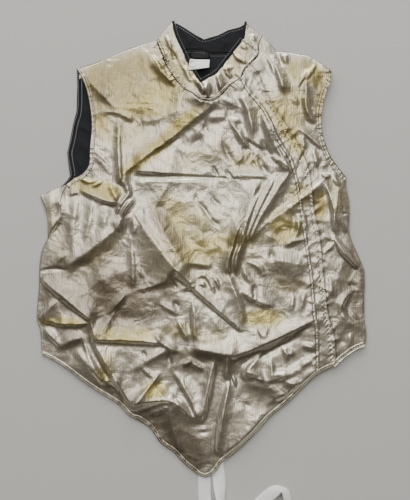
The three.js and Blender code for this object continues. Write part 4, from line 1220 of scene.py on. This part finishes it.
def grid_bmesh(rows):
    """A sheet of faces between rows of points, each of which runs from the right to the left."""
    bm = bmesh.new()
    verts = [[bm.verts.new(point) for point in row] for row in rows]
    for row, following in zip(verts, verts[1:]):
        for j in range(len(row) - 1):
            bm.faces.new((row[j], following[j], following[j + 1], row[j + 1]))
    bm.normal_update()
    return bm


def edge_band(name, line, profile, on, material, pitch, ripple, seed, node=None):
    """A strip along a line. A profile's row: offset to the left, height over the cloth, share of ripple."""
    points, lefts, along = even_steps(line, BAND_STEP)
    wave = uneven_wave(along, pitch, seed) * ripple
    rows = []
    for point, left, bump in zip(points, lefts, wave):
        spots = [point + left * offset for offset, _, _ in profile]
        rows.append([(x, y, top_height(on, x, y) + rise + bump * share)
                     for (x, y), (_, rise, share) in zip(spots, profile)])
    return finished(name, grid_bmesh(rows), node, material, BAND_CLOTH)


print(f"the front is {top_height(['front_main_cloth'], 0, 0):.1f} mm high in the middle of the chest")

# %% [markdown]
# ## Fly strip
#
# The fly strip covers the front's fastening. It is sewn down along its left edge, free on its right, and a
# second row of thick stitches gathers it into ridges. It could be made like the other panels, but its
# ridges are finer than that mesh, so it is built row by row from the seam to the free edge, over the two
# panels that it covers.

# %% Ridges of the fly strip
STRIP_GATHERS = [
    # height on the pattern, strength
    (-195, 1.0), (-30, 0.9), (0, 0.35), (90, 0.35), (110, 1.0), (145, 1.0), (200, 0.5), (312, 0.4),
]
STRIP_RIDGES = {
    # which: rise, pitch, seed
    "seam": (1.5, 8, 31),
    "row": (1.7, 7.5, 32),
    "middle": (1.6, 30, 33),
}
# Millimetres: the second row's distance from the free edge, and how far the ridges reach from their stitches
ROW_FROM_EDGE = 8.0
SEAM_RIDGE_REACH = 6
ROW_RIDGE_REACH = 5
STRIP_RELIEF = [
    # edge, distance from it, half width, rise: the groove of the second row, then the two turned edges
    ("free", ROW_FROM_EDGE, 0.9, -0.8),
    ("seam", 1.2, 1.0, 0.7),
    ("free", 1.5, 1.6, 0.9),
]


def hump(distance, at, half_width):
    """1 at one distance from an edge, and less on both sides of it."""
    return math.exp(-((distance - at) / half_width) ** 2)


print(len(STRIP_RIDGES), "sets of ridges on the strip")

# %% [markdown]
# Each row of the strip starts a little before its seam and rests on the higher of the two panels under it.
# Within a few millimetres of the seam it stays at least as high as where it starts, so that it can't sink
# into a hollow beside the seam.

# %% Fly strip
STRIP_COLUMNS = 26
# Rows of the strip that a ridge slants by from edge to edge
RIDGE_SLANT = 10
# Millimetres: heights over the cloth, how far the strip runs on past its seam, and reaches from the seam
STRIP_LIFT = 1.3
SEAM_LIFT = 0.1
SEAM_OVERLAP = 2.5
SEWN_REACH = (8, 3)
LIFT_REACH = (0, 6)

seam_points = even_steps(fly_seam, BAND_STEP)[0]
free_points = even_steps(fly_free, BAND_STEP)[0]
count = len(seam_points)
share = np.linspace(0, len(free_points) - 1, count)
free_points = np.column_stack([np.interp(share, range(len(free_points)), free_points[:, axis])
                               for axis in (0, 1)])
down = np.linspace(0, np.hypot(*np.diff(fly_seam, axis=0).T).sum(), count)
ridges = {which: rise * uneven_wave(down, pitch, seed)
          for which, (rise, pitch, seed) in STRIP_RIDGES.items()}
strip_rows = []
for i in range(count):
    width = np.hypot(*(free_points[i] - seam_points[i]))
    row = []
    sewn_down = None
    for across in np.linspace(-SEAM_OVERLAP / width, 1, STRIP_COLUMNS):
        slide = int(np.clip(i + (across - 0.5) * RIDGE_SLANT, 0, count - 1))
        x, y = seam_points[i] + (free_points[i] - seam_points[i]) * across
        off = {"seam": across * width + SEAM_OVERLAP, "free": (1 - across) * width}
        z = top_height(["front_side_cloth", "front_main_cloth"], x, y)
        sewn_down = sewn_down or z
        z += max(0, sewn_down - z) * smooth_between(*SEWN_REACH, off["seam"])
        z += SEAM_LIFT + (STRIP_LIFT - SEAM_LIFT) * smooth_between(*LIFT_REACH, off["seam"])
        gather = np.interp(y, *zip(*STRIP_GATHERS))
        z += gather * ridges["seam"][slide] * hump(off["seam"], 1, SEAM_RIDGE_REACH)
        z += gather * ridges["row"][slide] * hump(off["free"], ROW_FROM_EDGE, ROW_RIDGE_REACH)
        z += gather * ridges["middle"][slide] * math.sin(math.pi * max(0, across)) ** 0.5
        z += sum(rise * hump(off[edge], at, half_width) for edge, at, half_width, rise in STRIP_RELIEF)
        row.append((x, y, z))
    strip_rows.append(row)
finished("fly_strip_cloth", grid_bmesh(strip_rows), "fly_strip", lame_cloth)

# %% [markdown]
# ## Turned hems and rolled edges
#
# The hems and armholes are turned under and sewn twice, so they are a flat welt a few millimetres wide with
# a groove under each row of thread. The collar's top edge is bound with dark cloth, rolled over like a
# cord. The lining meets the collar's lining in a turned seam across the back of the neck. Each is a profile
# drawn once and carried along its edge.

# %% Turned hems and rolled edges
# Each row of a profile: offset to the left and height over the cloth in mm, share of the ripple
HEM_PROFILE = [(-0.3, -0.8, 0.2), (0.2, 0.5, 0.4), (1.4, 1.2, 0.7), (2.6, 0.4, 0.8), (4.0, 1.0, 1.0),
               (5.6, 0.9, 1.0), (6.6, 0.3, 0.8), (7.4, -0.3, 0.4)]
ARMHOLE_PROFILE = [(-0.3, -0.8, 0.2), (0.2, 0.6, 0.4), (1.5, 1.4, 0.6), (2.9, 0.4, 0.7), (3.6, 0.5, 0.9),
                   (5.2, 1.2, 1.0), (6.8, 0.5, 0.8), (7.8, -0.3, 0.3)]
LINING_PROFILE = [(0.3, -0.6, 0.2), (0.8, 0.4, 0.4), (2.0, 0.9, 0.6), (3.4, 0.4, 0.5), (4.2, -0.3, 0.2)]
SEAM_PROFILE = [(-5.2, -0.3, 0.2), (-4.4, 0.3, 0.6), (-3.2, 0.9, 1.0), (-2.0, 1.2, 1.0), (-0.9, 0.7, 0.6),
                (-0.2, -0.3, 0.2)]
YOKE_PROFILE = [(-1.8, -0.4, 0.0), (-1.2, 0.3, 0.5), (0.0, 0.5, 1.0), (1.2, 0.3, 0.5), (1.8, -0.4, 0.0)]
PIPING_PROFILE = [(-0.2, -1.2, 0.0), (0.0, 0.2, 0.2), (0.8, 1.2, 0.5), (1.8, 1.5, 0.6), (2.9, 1.1, 0.5),
                  (3.6, 0.1, 0.2), (3.9, -0.6, 0.0)]
FRONT = ["front_main_cloth", "front_side_cloth", "fly_strip_cloth", "back_underarm_cloth"]
COLLAR = ["collar_front_cloth"]
LININGS = ["collar_back_lining_cloth", "back_lining_cloth"]
BANDS = [
    # name, line, profile, lies on, cloth, pitch and height of the ripple, seed
    ("hem_band", hem, HEM_PROFILE, FRONT, lame_cloth, 13, 1.0, 41),
    ("armhole_left_band", armhole_left, ARMHOLE_PROFILE, FRONT, lame_cloth, 8, 0.9, 42),
    ("armhole_right_band", armhole_right, ARMHOLE_PROFILE, FRONT, lame_cloth, 7, 1.3, 43),
    ("neck_seam_band", neck_seam, SEAM_PROFILE, COLLAR, lame_cloth, 8, 1.3, 44),
    ("tab_edge_band", joined("tab_end"), SEAM_PROFILE, COLLAR, lame_cloth, 8, 0.8, 45),
    ("lining_edge_band", joined("armhole_back_left"), LINING_PROFILE, LININGS[1:], cotton_lining,
     14, 0.4, 48),
    ("yoke_seam_band", joined("yoke_seam"), YOKE_PROFILE, LININGS, cotton_lining, 12, 0.1, 49),
]

for band in BANDS:
    edge_band(*band)
for bound, edges, seed in (("collar_binding_left", ["collar_top_left"], 46),
                           ("collar_binding_right", ["collar_top_right", "collar_side_top"], 47)):
    edge_band(f"{bound}_piping", joined(*edges, step=3), PIPING_PROFILE, [*COLLAR, "collar_side_cloth"],
              cotton_lining, 12, 0.3, seed, bound)

# %% [markdown]
# ## Crotch strap
#
# The strap is a flat white elastic, woven with fine ribs across it. It is limp on its flat side and stiff
# on its edge, so it turns by leaning over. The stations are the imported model's own: a place and how far the
# band leans.

# %% Elastic strap
STRAP_STATIONS = [
    # x, y, lean in degrees
    (-1, -366, 0), (-1, -392, 0), (0, -425, 4), (4, -450, 30), (20, -480, 70), (70, -498, 80),
    (122, -480, 72), (140, -446, 60), (141, -425, 52), (137, -411, 56), (129, -404, 74), (120, -407, 40),
    (106, -419, 8), (92, -432, 10), (80, -448, 60), (60, -460, 78), (38, -450, 72), (28, -425, 52),
    (25, -400, 14), (23, -381, 0), (20, -358, 0),
]
# Millimetres, but for the number of columns
STRAP_WIDTH = 22
STRAP_CLOTH = 1.2
STRAP_STEP = 2.5
STRAP_COLUMNS = 9
CROWN = 0.35


def centripetal_line(stations, step):
    """Rows of values on a smooth curve that stays close to its stations, near and far ones alike."""
    points = np.array(stations, float)
    points = np.vstack([2 * points[0] - points[1], points, 2 * points[-1] - points[-2]])
    line = []
    for p in zip(points, points[1:], points[2:], points[3:]):
        gaps = [math.sqrt(np.linalg.norm(b - a)) for a, b in zip(p, p[1:])]
        leave = gaps[1] * ((p[1] - p[0]) / gaps[0] - (p[2] - p[0]) / (gaps[0] + gaps[1])) + (p[2] - p[1])
        arrive = gaps[1] * ((p[3] - p[2]) / gaps[2] - (p[3] - p[1]) / (gaps[1] + gaps[2])) + (p[2] - p[1])
        count = max(2, round(math.hypot(*(p[2] - p[1])[:2]) / step))
        for t in np.arange(count) / count:
            line.append(curve_point(p[1], p[2], leave, arrive, t))
    return np.array(line + [points[-2]])


route = centripetal_line(STRAP_STATIONS, STRAP_STEP)
route_ahead = np.gradient(route[:, :2], axis=0)
route_ahead /= np.hypot(*route_ahead.T)[:, None]
strap_rows = []
for (x, y, lean), (ahead_x, ahead_y) in zip(route, route_ahead):
    lean = math.radians(max(0, lean))
    centre_z = STRAP_WIDTH / 2 * math.sin(lean) + STRAP_CLOTH / 2 * math.cos(lean)
    row = []
    for across in np.linspace(-STRAP_WIDTH / 2, STRAP_WIDTH / 2, STRAP_COLUMNS):
        up = STRAP_CLOTH / 2 + CROWN * (1 - (2 * across / STRAP_WIDTH) ** 4) - CROWN
        flat = across * math.cos(lean) - up * math.sin(lean)
        row.append((x - ahead_y * flat, y + ahead_x * flat,
                    centre_z + across * math.sin(lean) + up * math.cos(lean)))
    strap_rows.append(row)

# %% [markdown]
# Woven elastic has ribs across it and rubber cords along it, which show as fine crossing lines. The strap
# bends, so the pattern can't come from its place in the room. It has a map of its own, in millimetres
# across and along the band.

# %% White elastic
RIB = 1.4
SHADED_RIB = "#c2c2bf"
LIT_RIB = "#ededea"

elastic, tree, shader = new_material("white_ribbed_elastic")
strap_map = add_node(tree, "ShaderNodeUVMap", uv_map="strap").outputs["UV"]
ribs = add_node(tree, "ShaderNodeTexWave", {"Vector": strap_map, "Scale": bands_scale(RIB),
                                            "Distortion": 0.6}, bands_direction="Y")
cords = add_node(tree, "ShaderNodeTexWave", {"Vector": strap_map, "Scale": bands_scale(2 * RIB)},
                 bands_direction="X")
knit = add_node(tree, "ShaderNodeMath", {0: ribs.outputs["Fac"], 1: cords.outputs["Fac"]}, operation="ADD")
rib_bump = add_node(tree, "ShaderNodeBump", {"Height": knit.outputs["Value"], "Strength": 0.5,
                                             "Distance": 0.0004})
tree.links.new(mixed(tree, ribs.outputs["Fac"], linear(SHADED_RIB), linear(LIT_RIB)),
               shader.inputs["Base Color"])
tree.links.new(rib_bump.outputs["Normal"], shader.inputs["Normal"])
shader.inputs["Roughness"].default_value = 0.75
strap_bm = grid_bmesh(strap_rows)
strap_uv = strap_bm.loops.layers.uv.new("strap")
for face_number, face in enumerate(strap_bm.faces):
    row, column = divmod(face_number, STRAP_COLUMNS - 1)
    for loop, (du, dv) in zip(face.loops, ((0, 0), (0, 1), (1, 1), (1, 0))):
        across, onward = column + du, row + dv
        loop[strap_uv].uv = (across * STRAP_WIDTH / (STRAP_COLUMNS - 1), onward * STRAP_STEP)
strap = finished("crotch_strap_elastic", strap_bm, "crotch_strap", elastic, STRAP_CLOTH)

# %% [markdown]
# ## Stitches
#
# Every hem has two rows of pale thread. A real stitch is 3 mm long and half a millimetre thick, less than a
# third of a pixel of the photograph, so each is a small rounded bead about twice as thick, which catches
# the light as thread does.

# %% Rows of stitches
STITCH_ROWS = [
    # name, edges, offsets to the left, pitch, length, width, slant in degrees, lies on, thread
    ("hem_stitches", HEM_EDGES, (2.6, 6.6), 4.2, 2.8, 0.9, 0, "hem_band", "pale"),
    ("armhole_left_stitches", ["armhole_front_left"], (2.9, 6.8), 4.0, 2.7, 0.9, 0, "armhole_left_band",
     "pale"),
    ("armhole_right_stitches", ["armhole_right"], (2.9, 6.8), 4.0, 2.7, 0.9, 0, "armhole_right_band",
     "pale"),
    ("fly_stitches", ["fly_seam"], (0.8,), 5.0, 2.6, 1.1, 40, "fly_strip_cloth", "pale"),
    ("fly_stitches", ["fly_row"], (0.0,), 7.0, 5.0, 2.0, 70, "fly_strip_cloth", "pale"),
    ("neck_stitches", ["neck_seam"], (-1.0, -4.4), 4.0, 2.8, 0.9, 0, "neck_seam_band", "pale"),
    ("tab_stitches", ["tab_end"], (-1.0, -4.4), 4.0, 2.8, 0.9, 0, "tab_edge_band", "pale"),
    ("binding_stitches", ["collar_top_left"], (4.6,), 4.0, 2.8, 0.8, 0, "collar_front_cloth", "grey"),
    ("binding_stitches", ["collar_top_right"], (4.6,), 4.0, 2.8, 0.8, 0, "collar_front_cloth", "grey"),
    ("lining_stitches", ["armhole_back_left"], (2.0,), 3.6, 3.0, 1.3, 0, "lining_edge_band", "grey"),
    ("lining_stitches", ["armhole_back_left"], (8.0,), 3.6, 3.0, 1.3, 0, "back_lining_cloth", "grey"),
    ("lining_stitches", ["collar_back_top"], (-4.5,), 4.0, 2.8, 0.9, 0, "collar_back_lining_cloth", "grey"),
    ("lining_stitches", ["yoke_seam"], (-2.5,), 4.0, 2.8, 0.9, 0, "back_lining_cloth", "grey"),
]
THREAD_OF = {"pale": polyester_thread, "grey": lining_thread}
STITCH_HEIGHT = 0.9
STITCH_LIFT = 0.3

stitch_meshes = {}
for name, edges, offsets, pitch, length, width, slant, base, thread in STITCH_ROWS:
    bm = stitch_meshes.setdefault(name, (bmesh.new(), thread))[0]
    points, lefts, _ = even_steps(joined(*edges), pitch)
    size = Matrix.Diagonal((length / 2, width / 2, STITCH_HEIGHT / 2, 1))
    for offset in offsets:
        for point, left in zip(points[:-1], lefts[:-1]):
            x, y = point + left * offset
            place = Matrix.Translation((x, y, top_height([base], x, y) + STITCH_LIFT))
            turn = Matrix.Rotation(math.atan2(-left[0], left[1]) + math.radians(slant), 4, "Z")
            bmesh.ops.create_icosphere(bm, subdivisions=1, radius=1, matrix=place @ turn @ size)
for name, (bm, thread) in stitch_meshes.items():
    finished(name, bm, None, THREAD_OF[thread], 0)

# %% [markdown]

# %% [markdown]
# ## Floor
#
# A plain matt floor in a pale grey, far wider than the picture, keeps the eye on the vest. It lies a fifth
# of a millimetre under it, so that the two surfaces don't fight for the same place.

# %% Floor
FLOOR_SIDE = 6.0
FLOOR_GAP = 0.2
FLOOR_GREY = "#a9a8a5"
FLOOR_ROUGHNESS = 0.9

bm = bmesh.new()
bmesh.ops.create_grid(bm, x_segments=1, y_segments=1, size=FLOOR_SIDE / 2)
bmesh.ops.transform(bm, matrix=Matrix.Translation((0, 0, -FLOOR_GAP * MM)), verts=bm.verts)
mesh = bpy.data.meshes.new("floor")
bm.to_mesh(mesh)
bm.free()
floor = bpy.data.objects.new("floor", mesh)
bpy.context.scene.collection.objects.link(floor)
floor_paint, _, shader = new_material("pale_matt_floor")
shader.inputs["Base Color"].default_value = linear(FLOOR_GREY)
shader.inputs["Roughness"].default_value = FLOOR_ROUGHNESS
mesh.materials.append(floor_paint)
floor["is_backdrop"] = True
print(f"floor {FLOOR_SIDE} m wide")

# %% [markdown]
# ## Light
#
# A metallic cloth shows what it reflects. A dim room with a few large bright panels gives it both its
# lights and its darks, and the main one stands beyond the collar, so slopes that face the collar are light
# and the others dark. A picture of a real room could be used, but this way each brightness can be set.

# %% Windows and ceiling
SOFTBOXES = [
    # name, place and size in metres, watts
    ("window", (0.0, 2.4, 1.2), (2.8, 1.2), 70),
    ("side window", (-2.0, 1.6, 1.5), (0.8, 1.2), 10),
    ("ceiling", (0.0, 0.7, 2.8), (1.4, 1.0), 14),
]

for name, place, size, power in SOFTBOXES:
    light = bpy.data.lights.new(name, "AREA")
    light.shape = "RECTANGLE"
    light.size, light.size_y = size
    light.energy = power
    lamp = bpy.data.objects.new(name, light)
    lamp.location = place
    lamp.rotation_euler = (-Vector(place)).to_track_quat("-Z", "Y").to_euler()
    bpy.context.scene.collection.objects.link(lamp)
print(len(SOFTBOXES), "lights")

# %% [markdown]
# The room itself is a ramp of greys, brightest high up beyond the collar and darkest low down towards the
# point of the hem. Close to the horizon it has the colour of the floor, as if the floor had no end.

# %% Dim room
TOWARDS_WINDOW = (-0.1, 0.53, 0.84)
ROOM_GREYS = [
    # how far towards the window, colour
    (0.15, "#3b3832"),
    (0.68, "#6a6762"),
    (0.85, "#aeaba5"),
    (0.97, "#ffffff"),
]
NEAR_FLOOR = (0.36, 0.08)
HORIZON_GREY = "#a6a5a2"
ROOM_STRENGTH = 2.7

world = bpy.data.worlds.new("dim_room")
world.use_nodes = True
room = world.node_tree
direction = add_node(room, "ShaderNodeTexCoord").outputs["Generated"]
facing = add_node(room, "ShaderNodeVectorMath", {0: direction, 1: TOWARDS_WINDOW}, operation="DOT_PRODUCT")
walls = add_node(room, "ShaderNodeValToRGB", {"Fac": facing.outputs["Value"]})
stops = walls.color_ramp.elements
for position, _ in ROOM_GREYS[1:-1]:
    stops.new(position)
for stop, (position, colour) in zip(stops, ROOM_GREYS):
    stop.position = position
    stop.color = linear(colour)
height = add_node(room, "ShaderNodeSeparateXYZ", {"Vector": direction})
near_floor = add_node(room, "ShaderNodeMapRange", {"Value": height.outputs["Z"],
                                                   "From Min": NEAR_FLOOR[0], "From Max": NEAR_FLOOR[1]})
studio = mixed(room, near_floor.outputs["Result"], walls.outputs["Color"], linear(HORIZON_GREY))
room.links.new(studio, room.nodes["Background"].inputs["Color"])
room.nodes["Background"].inputs["Strength"].default_value = ROOM_STRENGTH
bpy.context.scene.world = world
print(len(ROOM_GREYS), "greys in the room")

# %% [markdown]
# ## Size
#
# The size of the dressed vest is printed, in millimetres. The dressed vest has to stay inside the imported
# one but for a few millimetres.

# %% Size and finish
low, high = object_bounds()
print("visual size in mm:", [round((b - a) / MM, 1) for a, b in zip(low, high)])
